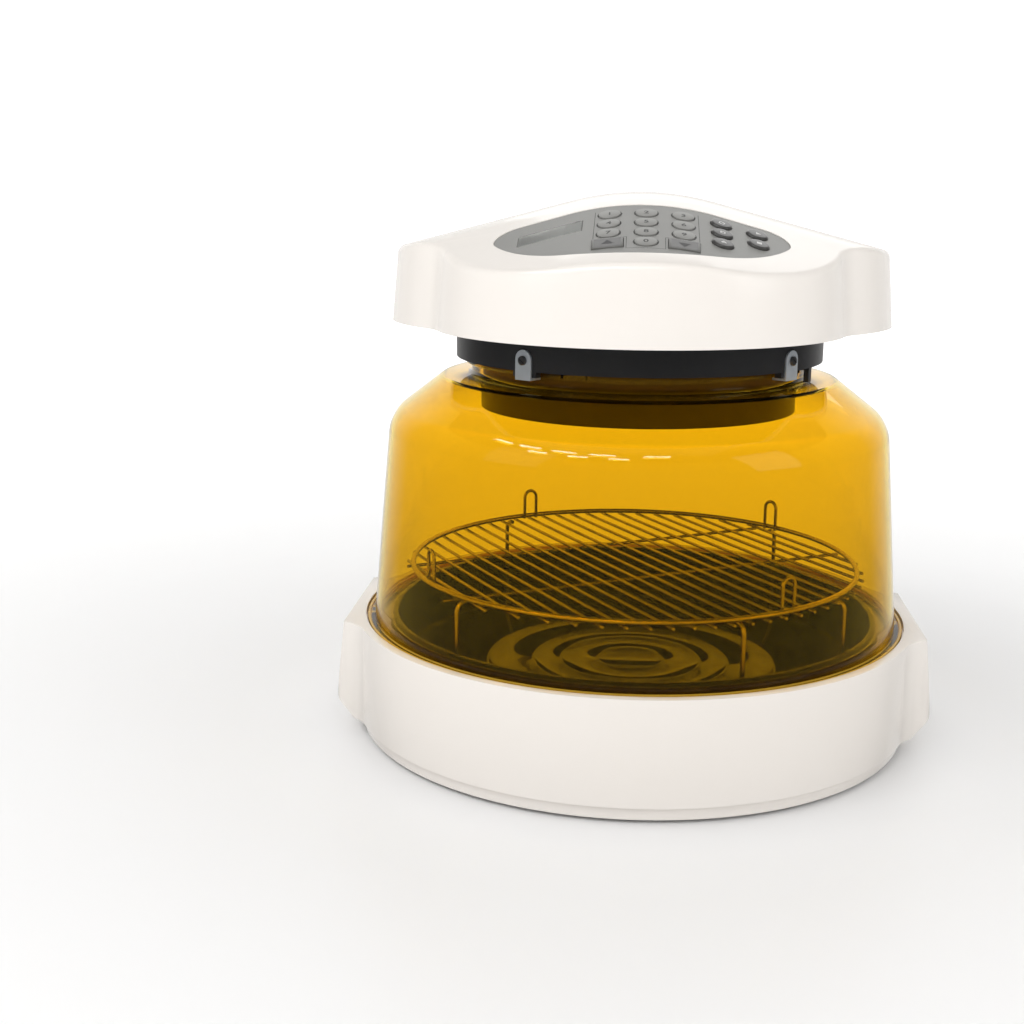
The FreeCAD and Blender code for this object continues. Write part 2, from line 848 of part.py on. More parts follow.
def lock_plate():
    outside = ring_radius + lock_sheet
    foot = lip_foot - lock_hook_gap - lock_hook_thickness
    strap = front_piece(lock_width, ring_radius, outside, foot, lock_top_height)
    crown_cut = radial_cylinder(lock_width / 2, 0, outside + overrun, lock_top_height - lock_width / 2)
    low_half = block(-lock_width, lock_width, -outside - overrun, 0, foot - overrun,
                     lock_top_height - lock_width / 2)
    strap = strap.common(crown_cut.fuse(low_half))
    hook = front_piece(lock_width, lock_hook_reach, outside, foot, foot + lock_hook_thickness)
    hole = radial_shank(screw_radius, 0, outside + overrun, lock_screw_height)
    return strap.fuse(hook).cut(hole).removeSplitter()


def dome_locks():
    plate = lock_plate()
    return [spun(plate, angle) for angle in lock_angles]


def lock_screws():
    outside = ring_radius + lock_sheet
    head = radial_cylinder(screw_head_radius, outside, outside + screw_head_height, lock_screw_height)
    shank = radial_shank(screw_radius - bearing_gap, outside - screw_length, outside, lock_screw_height)
    screw = head.fuse(shank).removeSplitter()
    return [spun(screw, angle) for angle in lock_angles]


def cover_screws():
    """Hexagon screws driven from below through the plate into the cover's bosses."""
    solids = []
    for x, y in cover_screw_places:
        head = upright_shank(screw_head_radius, plate_foot - screw_head_height, plate_foot, x, y)
        shank = upright_shank(screw_radius - bearing_gap, plate_foot, plate_top + screw_length, x, y)
        solids.append(head.fuse(shank).removeSplitter())
    return solids


# Control panel: overlay, membrane, display window and module, and keys

def key_table():
    """Name, outline, place and height over the crown of every key. Round keys are drawn with flats."""
    disc = flat_sided(key_side_count, key_radius, flat)
    half_width = arrow_key_width / 2
    half_length = arrow_key_length / 2
    arrow = Part.Face(rounded_wire([(-half_width, -half_length, 0), (half_width, -half_length, 0),
                                    (half_width, half_length, 0), (-half_width, half_length, 0)], flat))
    keys = []
    for row in range(3):
        for column in range(3):
            digit = 3 * row + column + 1
            keys.append(("key_%d" % digit, disc, keypad_x + (column - 1) * key_pitch_x,
                         key_row_y - row * key_pitch_y, key_proud))
    keys.append(("key_0", disc, keypad_x, key_row_y - 3 * key_pitch_y, key_proud))
    keys.append(("key_up", arrow, keypad_x - key_pitch_x, arrow_key_y, key_proud))
    keys.append(("key_down", arrow, keypad_x + key_pitch_x, arrow_key_y, key_proud))
    for row in range(3):
        keys.append(("key_mode_%d" % (row + 1), disc, function_key_x, key_row_y - row * key_pitch_y,
                     function_key_proud))
    for row in range(2):
        keys.append(("key_run_%d" % (row + 1), disc, function_key_x + function_pitch_x,
                     key_row_y - row * key_pitch_y, function_key_proud))
    return keys


def key_prism(outline, x, y, low, high):
    """Prism on a key's outline, square to the crown at the key, between two heights over it."""
    turn = FreeCAD.Rotation(UP, crown_normal(x))
    solid = prism(outline, low, high)
    solid.rotate(ORIGIN, turn.Axis, math.degrees(turn.Angle))
    solid.translate(crown_point(x, y))
    return solid


def key_holes():
    """Holes for all keys through the overlay."""
    reach = panel_thickness + membrane_thickness
    return [key_prism(outline.makeOffset2D(key_side_gap, join=2), x, y, -reach, reach)
            for _, outline, x, y, _ in key_table()]


def key_pad(outline, x, y, proud):
    foot = -(panel_sink + panel_thickness) * crown_normal(x).z
    return key_prism(outline, x, y, foot, proud)


def display_face(grow):
    half_width = display_width / 2 + grow
    half_length = display_length / 2 + grow
    return Part.Face(Part.makePolygon([
        Vector(display_x + sx * half_width, display_y + sy * half_length, 0)
        for sx, sy in ((-1, -1), (1, -1), (1, 1), (-1, 1), (-1, -1))]))


def display_prism(grow):
    return prism(display_face(grow), plate_top, head_height)


def panel_overlay():
    layer = crown_layer(panel_prism(0), -panel_sink - panel_thickness, -panel_sink)
    return layer.cut(key_holes() + [display_prism(display_gap)]).removeSplitter()


def key_wells(level):
    """Shallow wells under the three groups of keys, which leave room for their travel."""
    back = key_row_y + key_radius + well_margin
    half_block = key_pitch_x + arrow_key_width / 2 + well_margin
    half_column = key_radius + well_margin
    wells = [block(keypad_x - half_block, keypad_x + half_block,
                   arrow_key_y - arrow_key_length / 2 - well_margin, back, plate_top, head_height)]
    for x, rows in ((function_key_x, 2), (function_key_x + function_pitch_x, 1)):
        front = key_row_y - rows * key_pitch_y - half_column
        wells.append(block(x - half_column, x + half_column, front, back, plate_top, head_height))
    return [above_crown(well, level - key_travel - pocket_spare) for well in wells]


def key_membrane():
    top = -panel_sink - panel_thickness
    layer = crown_layer(panel_prism(-panel_ledge - membrane_side_gap), top - membrane_thickness, top)
    return layer.cut(key_wells(top) + [display_prism(-display_frame + display_gap)]).removeSplitter()


def display_window():
    return crown_layer(display_prism(0), -panel_sink - panel_thickness, -panel_sink)


def display_module():
    top = -panel_sink - panel_thickness
    return crown_layer(display_prism(-display_frame), top - display_depth, top)


def control_board():
    board = block(-board_half_width, board_half_width, -board_front, -board_back,
                  board_height, board_height + board_thickness)
    chip_length = board_half_width / 3
    chip_top = board_height + board_thickness + display_depth / 2
    chips = [block(-chip_length / 2, chip_length / 2, -board_front + 3 * board_post_inset,
                   -board_back - 3 * board_post_inset, board_height + board_thickness, chip_top),
             block(-board_half_width + board_post_inset * 2, -board_half_width + board_post_inset * 4,
                   -board_front + 2 * board_post_inset, -board_back - 2 * board_post_inset,
                   board_height + board_thickness, board_height + board_thickness + 2 * display_depth)]
    return fused([board] + chips)


# Heater can with reflector, element, clamps and guard

def heater_can():
    inner = can_radius - can_wall
    lip = can_radius - can_lip_width
    return turned([
        (lip, can_foot_height, 0), (can_radius, can_foot_height, 0), (can_radius, plate_foot, 0),
        (inner, plate_foot, 0), (inner, can_foot_height + can_wall, 0),
        (lip, can_foot_height + can_wall, 0)])


def guard():
    """Crossed wires over the can's mouth: one row lies on the can's lip, the other on that row."""
    level = can_foot_height + can_wall + guard_wire / 2
    reach = can_radius - can_wall - guard_wire
    first = -(guard_wire_count - 1) / 2
    return [straight_wire(guard_wire, reach, (first + index) * guard_pitch, level + row * guard_wire,
                          row * 90) for row in range(2) for index in range(guard_wire_count)]


def reflector():
    disc = cylinder(can_radius - can_wall - clamp_gap, reflector_height, reflector_height + reflector_wall)
    bore = cylinder(shaft_radius + motor_boss_height, reflector_height - overrun, bracket_top)
    return disc.cut([bore] + element_passages(element_tube / 2 + reflector_wall))


def element_terminal_places():
    """Where the element's two ends stand, on one line with the first and the last length of its ring."""
    places = []
    for side in (-1, 1):
        angle = math.radians(element_opening / 2)
        end = flat(side * element_radius * math.sin(angle), element_radius * math.cos(angle))
        foot = end + flat(-side * math.cos(angle), math.sin(angle)) * element_bend
        places.append((foot.x, foot.y))
    return places


def element_passages(radius):
    return [cylinder(radius, element_height, bracket_top + overrun, x, y)
            for x, y in element_terminal_places()]


def heating_element():
    """Tubular element: an open ring in short straight lengths, with both ends bent up."""
    top = bracket_top + terminal_above_plate
    first = math.radians(element_opening / 2)
    sweep = 2 * math.pi - 2 * first
    ring = []
    for index in range(element_length_count + 1):
        angle = first + sweep * index / element_length_count
        ring.append(Vector(-element_radius * math.sin(angle), element_radius * math.cos(angle),
                           element_height))
    tips = [Vector(x, y, element_height) for x, y in element_terminal_places()]
    path = ([UP * (top - element_height) + tips[0], UP * element_bend / 2 + tips[0]] + ring
            + [UP * element_bend / 2 + tips[1], UP * (top - element_height) + tips[1]])
    return bent_wire(path, element_tube, Vector(1, 0, 0))


def element_clamps():
    """Sheet steel hangers between the reflector and the element."""
    inner = element_tube / 2 / math.cos(math.pi / wire_side_count) + clamp_gap
    outer = inner + clamp_sheet
    strap = hanger_block(outer).cut(hanger_block(inner))
    stem = block(-clamp_width / 2, clamp_width / 2, -element_radius - clamp_sheet / 2,
                 -element_radius + clamp_sheet / 2, element_height + inner + clamp_sheet / 2,
                 reflector_height)
    clamp = fused([strap, stem])
    return [spun(clamp, index * 360 / clamp_count) for index in range(clamp_count)]


def hanger_block(half):
    return block(-clamp_width / 2, clamp_width / 2, -element_radius - half, -element_radius + half,
                 element_height - half, element_height + half)


def insulation_board():
    half = insulation_side / 2
    return block(-half, half, -half, half, plate_foot, plate_top).cut(
        cylinder(shaft_radius + motor_boss_height, plate_foot - overrun, plate_top + overrun))


def motor_bracket():
    """Steel strap across the throat that carries the motor."""
    strap = block(-bracket_reach, bracket_reach, -bracket_width / 2, bracket_width / 2,
                  plate_top, bracket_top)
    return strap.cut(cylinder(shaft_radius + bearing_gap, plate_top - overrun, bracket_top + overrun))


# Motor, shaft and fans

def motor():
    """Small mains motor: a stack of laminations with its coil, between two bearing bridges."""
    half_length = motor_stack_length / 2
    half_width = motor_stack_width / 2
    stack = block(-half_length, half_length, -half_width, half_width,
                  bracket_top + motor_bridge_height, motor_top - motor_bridge_height)
    coil = block(half_length - motor_coil_width / 2, half_length + motor_coil_width / 2,
                 -half_width + motor_coil_margin, half_width - motor_coil_margin,
                 bracket_top + motor_coil_margin, motor_top - motor_coil_margin)
    bridges = [block(-half_length + motor_coil_margin, half_length - motor_coil_width,
                     -motor_bridge_width / 2, motor_bridge_width / 2, foot, foot + motor_bridge_height)
               for foot in (bracket_top, motor_top - motor_bridge_height)]
    boss = cylinder(motor_boss_radius, motor_top, motor_top + motor_boss_height)
    bore = cylinder(shaft_radius + bearing_gap, bracket_top - overrun, cooling_foot)
    return fused([stack, coil, boss] + bridges).cut(bore)


def motor_shaft():
    return cylinder(shaft_radius, shaft_foot, shaft_top)


def convection_fan():
    """Stamped impeller: an eight-sided back plate with a blade turned down on each corner."""
    disc_foot = fan_foot + convection_blade_height
    top = disc_foot + fan_disc_thickness
    half_width = convection_fan_radius * math.cos(math.pi / convection_blade_count)
    plate = prism(flat_sided(convection_blade_count, half_width, flat), disc_foot, top)
    hub = cylinder(convection_hub_radius, fan_foot, top)
    blade = block(convection_fan_radius * blade_start_share, convection_fan_radius * blade_end_share,
                  -fan_blade_thickness / 2, fan_blade_thickness / 2, fan_foot,
                  disc_foot + fan_disc_thickness / 2)
    blade.rotate(Vector(convection_fan_radius * blade_end_share, 0, 0), UP, convection_blade_lean)
    blades = [spun(blade, index * 360 / convection_blade_count)
              for index in range(convection_blade_count)]
    bore = cylinder(shaft_radius, fan_foot - overrun, top + overrun)
    return fused([plate, hub] + blades).cut(bore)


def cooling_fan():
    """Small axial fan on top of the motor."""
    top = cooling_foot + cooling_blade_height
    hub = prism(flat_sided(cooling_blade_count, cooling_hub_radius, flat), cooling_foot, top)
    half_chord = cooling_blade_height / 2 / math.sin(math.radians(cooling_blade_pitch)) - fan_blade_thickness
    blades = []
    for index in range(cooling_blade_count):
        blade = block(2 * shaft_radius, cooling_fan_radius, -half_chord, half_chord,
                      -fan_blade_thickness / 2, fan_blade_thickness / 2)
        blade.rotate(ORIGIN, Vector(1, 0, 0), cooling_blade_pitch)
        blade.translate(UP * (cooling_foot + top) / 2)
        blades.append(spun(blade, index * 360 / cooling_blade_count))
    sweep = block(-cooling_fan_radius, cooling_fan_radius, -cooling_fan_radius, cooling_fan_radius,
                  cooling_foot, top)
    bore = cylinder(shaft_radius, cooling_foot - overrun, top + overrun)
    return fused([hub] + blades).common(sweep).cut(bore)


# Small electrical pieces

def cord_gland():
    """Bush with a six-sided collar in the rear of the cover, where a supply cord would enter."""
    body = gland_cylinder(gland_radius, -gland_out, gland_out)
    skirt = gland_skirt()
    collar = flat_sided(wire_side_count, gland_flange_radius,
                        lambda u, v: Vector(u, skirt + gland_flange_gap, gland_height + v))
    collar = collar.extrude(Vector(0, gland_flange_thickness, 0))
    collar.rotate(Vector(0, rear_lobe_centre, 0), UP, -gland_angle)
    bore = gland_cylinder(gland_bore_radius, -gland_out - overrun, gland_out + overrun)
    return fused([body, collar]).cut(bore)


def thermostat():
    x, y = thermostat_place
    can = cylinder(thermostat_radius, bracket_top, bracket_top + thermostat_height, x, y)
    tabs = [block(x + side * thermostat_radius / 2 - thermostat_tab_width / 2,
                  x + side * thermostat_radius / 2 + thermostat_tab_width / 2,
                  y - bracket_thickness / 4, y + bracket_thickness / 4,
                  bracket_top + thermostat_height, bracket_top + 2 * thermostat_height)
            for side in (-1, 1)]
    return fused([can] + tabs)


def terminal_block():
    x, y = terminal_place
    top = plate_top + terminal_height
    body = block(x - terminal_length / 2, x + terminal_length / 2, y - terminal_width / 2,
                 y + terminal_width / 2, plate_top, top)
    wells = [block(x + shift * terminal_length / 3 - screw_head_radius,
                   x + shift * terminal_length / 3 + screw_head_radius, y - screw_head_radius,
                   y + screw_head_radius, plate_top + terminal_height / 2, top + overrun)
             for shift in (-1, 0, 1)]
    return body.cut(wells)


def save(name, shapes):
    solids = []
    for shape in shapes if isinstance(shapes, list) else [shapes]:
        solids.extend(shape.Solids)
    piece = solids[0] if len(solids) == 1 else Part.makeCompound(solids)
    piece.exportStep("parts/%s.step" % name)
    state = "ok" if all(solid.isValid() for solid in solids) else "NOT VALID"
    print(name, len(solids), "solids", round(sum(solid.Volume for solid in solids)), "mm3", state)


os.makedirs("parts", exist_ok=True)
save("base_tray", base_tray())
save("feet", feet())
save("liner_pan", liner_pan())
save("rack_hoop", rack_hoop())
save("rack_bars", rack_bars())
save("rack_cross_bars", rack_cross_bars())
save("rack_legs", rack_legs())
save("rack_loops", rack_loops())
save("dome", dome())
save("head_cover", head_cover())
save("lower_housing", lower_housing())
save("dome_locks", dome_locks())
save("lock_screws", lock_screws())
save("cover_screws", cover_screws())
save("panel_overlay", panel_overlay())
save("key_membrane", key_membrane())
save("display_window", display_window())
save("display_module", display_module())
save("control_board", control_board())
save("heater_can", heater_can())
save("can_guard", guard())
save("reflector", reflector())
save("heating_element", heating_element())
save("element_clamps", element_clamps())
save("insulation_board", insulation_board())
save("motor_bracket", motor_bracket())
save("motor", motor())
save("motor_shaft", motor_shaft())
save("convection_fan", convection_fan())
save("cooling_fan", cooling_fan())
save("cord_gland", cord_gland())
save("thermostat", thermostat())
save("terminal_block", terminal_block())
for key_name, key_outline, key_x, key_y, key_height in key_table():
    save(key_name, key_pad(key_outline, key_x, key_y, key_height))
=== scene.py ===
import math

import bpy
from mathutils import Matrix, Vector


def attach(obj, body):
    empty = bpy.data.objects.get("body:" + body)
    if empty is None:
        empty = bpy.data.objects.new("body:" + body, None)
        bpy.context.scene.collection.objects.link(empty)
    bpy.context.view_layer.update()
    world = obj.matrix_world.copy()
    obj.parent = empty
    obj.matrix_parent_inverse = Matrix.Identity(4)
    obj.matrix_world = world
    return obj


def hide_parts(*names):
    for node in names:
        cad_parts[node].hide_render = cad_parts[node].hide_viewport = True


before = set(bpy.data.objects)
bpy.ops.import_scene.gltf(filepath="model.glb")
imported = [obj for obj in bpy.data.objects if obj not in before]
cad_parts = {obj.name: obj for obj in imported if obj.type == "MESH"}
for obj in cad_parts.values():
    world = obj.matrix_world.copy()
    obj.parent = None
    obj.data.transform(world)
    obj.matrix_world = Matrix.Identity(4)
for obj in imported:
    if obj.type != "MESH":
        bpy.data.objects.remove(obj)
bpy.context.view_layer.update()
scene = bpy.context.scene

# The ground that the oven stands on: a pale seamless sweep that rises far away on all sides.
# It isn't part of the oven, and takes a soft shadow under it. It glows a little further out, and
# gloss doesn't mirror it, so that the amber and the black stay deep.
sweep_radius = 3.2
sweep_rise = 2.6
sweep_bend = 1.2
glow_start = 0.28
glow_full = 1.60
glow_strength = 0.46
bpy.ops.object.select_all(action="DESELECT")
bpy.ops.mesh.primitive_circle_add(vertices=96, radius=sweep_radius, fill_type="NGON")
sweep = bpy.context.object
sweep.name = "ground_sweep"
bpy.ops.object.mode_set(mode="EDIT")
bpy.ops.mesh.select_mode(type="EDGE")
bpy.ops.mesh.select_all(action="SELECT")
bpy.ops.mesh.region_to_loop()
bpy.ops.mesh.extrude_edges_move(TRANSFORM_OT_translate={"value": (0, 0, sweep_rise)})
bpy.ops.mesh.select_all(action="SELECT")
bpy.ops.mesh.normals_make_consistent(inside=False)
bpy.ops.mesh.flip_normals()
bpy.ops.object.mode_set(mode="OBJECT")
bend = sweep.modifiers.new("bend", "BEVEL")
bend.width = sweep_bend
bend.segments = 16
bend.limit_method = "ANGLE"
bend.angle_limit = math.radians(60)
bpy.ops.object.modifier_apply(modifier="bend")
bpy.ops.object.shade_smooth()
ground_paint = bpy.data.materials.new("ground_paint")
ground_paint.use_nodes = True
ground_shader = ground_paint.node_tree.nodes["Principled BSDF"]
ground_shader.inputs["Roughness"].default_value = 0.45
ground_grain = ground_paint.node_tree.nodes.new("ShaderNodeTexNoise")
ground_grain.inputs["Scale"].default_value = 3.0
ground_tones = ground_paint.node_tree.nodes.new("ShaderNodeMix")
ground_tones.data_type = "RGBA"
ground_tones.inputs["A"].default_value = (0.90, 0.90, 0.90, 1)
ground_tones.inputs["B"].default_value = (0.88, 0.88, 0.885, 1)
ground_paint.node_tree.links.new(ground_grain.outputs["Fac"], ground_tones.inputs["Factor"])
ground_paint.node_tree.links.new(ground_tones.outputs["Result"], ground_shader.inputs["Base Color"])
ground_place = ground_paint.node_tree.nodes.new("ShaderNodeTexCoord")
ground_flat = ground_paint.node_tree.nodes.new("ShaderNodeMapping")
ground_flat.inputs["Scale"].default_value = (1, 1, 0)
ground_reach = ground_paint.node_tree.nodes.new("ShaderNodeVectorMath")
ground_reach.operation = "LENGTH"
ground_glow = ground_paint.node_tree.nodes.new("ShaderNodeMapRange")
ground_glow.inputs["From Min"].default_value = glow_start
ground_glow.inputs["From Max"].default_value = glow_full
ground_glow.inputs["To Max"].default_value = glow_strength
ground_paint.node_tree.links.new(ground_place.outputs["Object"], ground_flat.inputs["Vector"])
ground_paint.node_tree.links.new(ground_flat.outputs["Vector"], ground_reach.inputs[0])
ground_paint.node_tree.links.new(ground_reach.outputs["Value"], ground_glow.inputs["Value"])
ground_paint.node_tree.links.new(ground_glow.outputs["Result"],
                                 ground_shader.inputs["Emission Strength"])
ground_shader.inputs["Emission Color"].default_value = (1, 1, 1, 1)
sweep.data.materials.append(ground_paint)
sweep.visible_glossy = False

# The photograph's own viewpoint: a camera a little above the head, nearly a metre in front,
# that looks slightly down and to the left.
lens_length = 51.15
camera_place = Vector((0.0, -0.9772, 0.3630))
camera_turn = 0.0856
camera_drop = 12.66
camera_pitch = math.radians(90 - camera_drop)
camera_roll = 0.0076
bpy.ops.object.camera_add()
camera = bpy.context.object
camera.data.lens = lens_length
camera.data.clip_end = 20
camera.matrix_world = (Matrix.Translation(camera_place) @ Matrix.Rotation(camera_turn, 4, "Z")
                       @ Matrix.Rotation(camera_pitch, 4, "X") @ Matrix.Rotation(camera_roll, 4, "Z"))
scene.camera = camera

# Soft studio light: a wide box overhead, one at each side of the camera and one behind, and two
# rows of short ceiling tubes whose reflections run along the dome's shoulder. Gloss sees a room
# that is dark in front and bright behind.
oven_middle = Vector((0, 0, 0.2))


def softbox(name, place, width, height, watts):
    bpy.ops.object.light_add(type="AREA", location=place)
    lamp = bpy.context.object
    lamp.name = name
    lamp.data.shape = "RECTANGLE"
    lamp.data.size = width
    lamp.data.size_y = height
    lamp.data.energy = watts
    lamp.rotation_euler = (oven_middle - Vector(place)).to_track_quat("-Z", "Y").to_euler()


softbox("overhead_box", (0, -0.2, 2.3), 2.4, 2.4, 3.5)
softbox("left_box", (-1.9, -1.3, 1.3), 1.2, 1.6, 2.5)
softbox("right_box", (2.0, -1.0, 1.2), 1.0, 1.6, 4.5)
softbox("rear_box", (0.4, 2.2, 1.7), 2.2, 1.0, 6)
tube_circle = 1.55
for tube_row, (tube_height, tube_length, tube_width, tube_watts, tube_angles) in enumerate((
        (2.00, 0.40, 0.11, 2.4, (-12, 18, 40, 62, 84)), (1.60, 0.28, 0.09, 1.4, (8, 29, 51)))):
    for tube_angle in tube_angles:
        tube_turn = math.radians(tube_angle)
        softbox("ceiling_tube_%d_%d" % (tube_row + 1, tube_angle),
                (-tube_circle * math.sin(tube_turn), -tube_circle * math.cos(tube_turn), tube_height),
                tube_length, tube_width, tube_watts)
room_strength = 0.36
gloss_front_strength = 0.09
gloss_rear_strength = 0.95
gloss_rise = (0.55, 0.95)
world = bpy.data.worlds.new("room_light")
world.use_nodes = True
world_glow = world.node_tree.nodes["Background"]
world_glow.inputs["Color"].default_value = (1.0, 0.99, 0.97, 1)
world_ray = world.node_tree.nodes.new("ShaderNodeLightPath")
world_light = world.node_tree.nodes.new("ShaderNodeMapRange")
world_light.inputs["To Min"].default_value = room_strength
world_place = world.node_tree.nodes.new("ShaderNodeTexCoord")
world_parts = world.node_tree.nodes.new("ShaderNodeSeparateXYZ")
world_side = world.node_tree.nodes.new("ShaderNodeMapRange")
world_side.inputs["From Min"].default_value = gloss_rise[0]
world_side.inputs["From Max"].default_value = gloss_rise[1]
world_side.inputs["To Min"].default_value = gloss_front_strength
world_side.inputs["To Max"].default_value = gloss_rear_strength
world.node_tree.links.new(world_place.outputs["Generated"], world_parts.inputs["Vector"])
world.node_tree.links.new(world_parts.outputs["Y"], world_side.inputs["Value"])
world.node_tree.links.new(world_side.outputs["Result"], world_light.inputs["To Max"])
world.node_tree.links.new(world_ray.outputs["Is Glossy Ray"], world_light.inputs["Value"])
world.node_tree.links.new(world_light.outputs["Result"], world_glow.inputs["Strength"])
scene.world = world
scene.view_settings.view_transform = "Standard"

# The base tray: one injection moulding in warm white, gloss outside, with two carrying handles.
# Its skirt hides the ribs and the posts that hold the feet. The collar and the groove's floor,
# up to the dome's bead, are coloured black.
dark_groove_radius = 0.1798
dark_groove_foot = 0.0725
dark_groove_tone = (0.020, 0.017, 0.013)


def surface(name, tone, other_tone, patch, roughness, grain, relief, stretch=(1, 1, 1), **plain):
    """Material of two close tones in soft patches, with uneven gloss and a fine relief.
    patch and grain are the sizes of both patterns in metres, and stretch draws the grain out."""
    material = bpy.data.materials.new(name)
    material.use_nodes = True
    nodes = material.node_tree.nodes
    links = material.node_tree.links
    shader = nodes["Principled BSDF"]
    place = nodes.new("ShaderNodeTexCoord")
    drawn = nodes.new("ShaderNodeMapping")
    drawn.inputs["Scale"].default_value = stretch
    links.new(place.outputs["Object"], drawn.inputs["Vector"])
    patches = nodes.new("ShaderNodeTexNoise")
    patches.inputs["Scale"].default_value = 1 / patch
    patches.inputs["Detail"].default_value = 3
    fine = nodes.new("ShaderNodeTexNoise")
    fine.inputs["Scale"].default_value = 1 / grain
    fine.inputs["Detail"].default_value = 4
    links.new(place.outputs["Object"], patches.inputs["Vector"])
    links.new(drawn.outputs["Vector"], fine.inputs["Vector"])
    tones = nodes.new("ShaderNodeMix")
    tones.data_type = "RGBA"
    tones.inputs["A"].default_value = (*tone, 1)
    tones.inputs["B"].default_value = (*other_tone, 1)
    links.new(patches.outputs["Fac"], tones.inputs["Factor"])
    links.new(tones.outputs["Result"], shader.inputs["Base Color"])
    gloss = nodes.new("ShaderNodeMapRange")
    gloss.inputs["To Min"].default_value = roughness[0]
    gloss.inputs["To Max"].default_value = roughness[1]
    links.new(fine.outputs["Fac"], gloss.inputs["Value"])
    links.new(gloss.outputs["Result"], shader.inputs["Roughness"])
    bump = nodes.new("ShaderNodeBump")
    bump.inputs["Distance"].default_value = relief
    links.new(fine.outputs["Fac"], bump.inputs["Height"])
    links.new(bump.outputs["Normal"], shader.inputs["Normal"])
    for socket, value in plain.items():
        shader.inputs[socket.replace("_", " ")].default_value = value
    return material


def pick_out(piece):
    """Makes one piece the only one that an operator works on."""
    bpy.ops.object.select_all(action="DESELECT")
    piece.select_set(True)
    bpy.context.view_layer.objects.active = piece


def fit(piece, material, body, slot_name, *nodes, crease=30):
    """Finishes a piece: material, smooth faces between its creases, its body and its nodes."""
    pick_out(piece)
    bpy.ops.object.shade_smooth_by_angle(angle=math.radians(crease))
    piece.data.materials.clear()
    piece.data.materials.append(material)
    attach(piece, body)
    if nodes:
        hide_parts(*nodes)
    return piece


def eased_copy(node, body, slot_name, material, edge=0.0, crease=30):
    """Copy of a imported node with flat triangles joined, its sharp edges eased by a small round."""
    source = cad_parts[node]
    piece = bpy.data.objects.new(node + "_skin", source.data.copy())
    scene.collection.objects.link(piece)
    pick_out(piece)
    bpy.ops.mesh.customdata_custom_splitnormals_clear()
    bpy.ops.object.mode_set(mode="EDIT")
    bpy.ops.mesh.select_all(action="SELECT")
    bpy.ops.mesh.remove_doubles(threshold=1e-6)
    if edge:
        bpy.ops.mesh.dissolve_limited(angle_limit=math.radians(0.4))
    bpy.ops.object.mode_set(mode="OBJECT")
    if edge:
        ease = piece.modifiers.new("ease", "BEVEL")
        ease.width = edge
        ease.segments = 3
        ease.limit_method = "ANGLE"
        ease.angle_limit = math.radians(crease + 8)
        ease.use_clamp_overlap = True
        bpy.ops.object.modifier_apply(modifier="ease")
    return fit(piece, material, body, slot_name, node, crease=crease)


shell_white = surface("shell_white", (0.82, 0.780, 0.735), (0.81, 0.765, 0.715), 0.08, (0.16, 0.24),
                      0.004, 0.00002, Coat_Weight=0.35, Coat_Roughness=0.06)


def coated(name, material, tone, radius, foot):
    """Copy of a material with another tone inside a radius round the Z axis and above a height."""
    painted = material.copy()
    painted.name = name
    nodes = painted.node_tree.nodes
    links = painted.node_tree.links
    shader = nodes["Principled BSDF"]
    place = nodes.new("ShaderNodeTexCoord")
    parts = nodes.new("ShaderNodeSeparateXYZ")
    links.new(place.outputs["Object"], parts.inputs["Vector"])
    flat = nodes.new("ShaderNodeCombineXYZ")
    links.new(parts.outputs["X"], flat.inputs["X"])
    links.new(parts.outputs["Y"], flat.inputs["Y"])
    reach = nodes.new("ShaderNodeVectorMath")
    reach.operation = "LENGTH"
    links.new(flat.outputs["Vector"], reach.inputs[0])
    inside = nodes.new("ShaderNodeMath")
    inside.operation = "LESS_THAN"
    inside.inputs[1].default_value = radius
    links.new(reach.outputs["Value"], inside.inputs[0])
    above = nodes.new("ShaderNodeMath")
    above.operation = "GREATER_THAN"
    above.inputs[1].default_value = foot
    links.new(parts.outputs["Z"], above.inputs[0])
    both = nodes.new("ShaderNodeMath")
    both.operation = "MULTIPLY"
    links.new(inside.outputs["Value"], both.inputs[0])
    links.new(above.outputs["Value"], both.inputs[1])
    paint = nodes.new("ShaderNodeMix")
    paint.data_type = "RGBA"
    links.new(both.outputs["Value"], paint.inputs["Factor"])
    links.new(shader.inputs["Base Color"].links[0].from_socket, paint.inputs["A"])
    paint.inputs["B"].default_value = (*tone, 1)
    links.new(paint.outputs["Result"], shader.inputs["Base Color"])
    return painted


# The base's white, coloured black inside the bead's radius, on the collar and the groove's floor.
base_white = coated("base_white", shell_white, dark_groove_tone, dark_groove_radius, dark_groove_foot)
eased_copy("base_tray", "base", "base_white", base_white, edge=0.0012)

# Four rubber feet, pushed into the posts under the base.
foot_black = surface("foot_black", (0.05, 0.05, 0.05), (0.075, 0.073, 0.07), 0.01, (0.7, 0.9),
                     0.0008, 0.0001)
eased_copy("feet", "base", "foot_rubber", foot_black, edge=0.0009)

# The liner pan: pressed steel with a glossy black enamel. A thick rolled rim hangs it on the
# base's collar, and raised rings stiffen its floor.
pan_rim_radius = 0.1650
pan_bore_radius = 0.1613
pan_skin = 0.0012
pan_rim_foot = 0.0775
pan_rim_top = 0.0795
pan_floor = 0.0395
pan_ring_rise = 0.0009
pan_ring_half = 0.0026
pan_ring_shares = (0.14, 0.30, 0.42, 0.62)


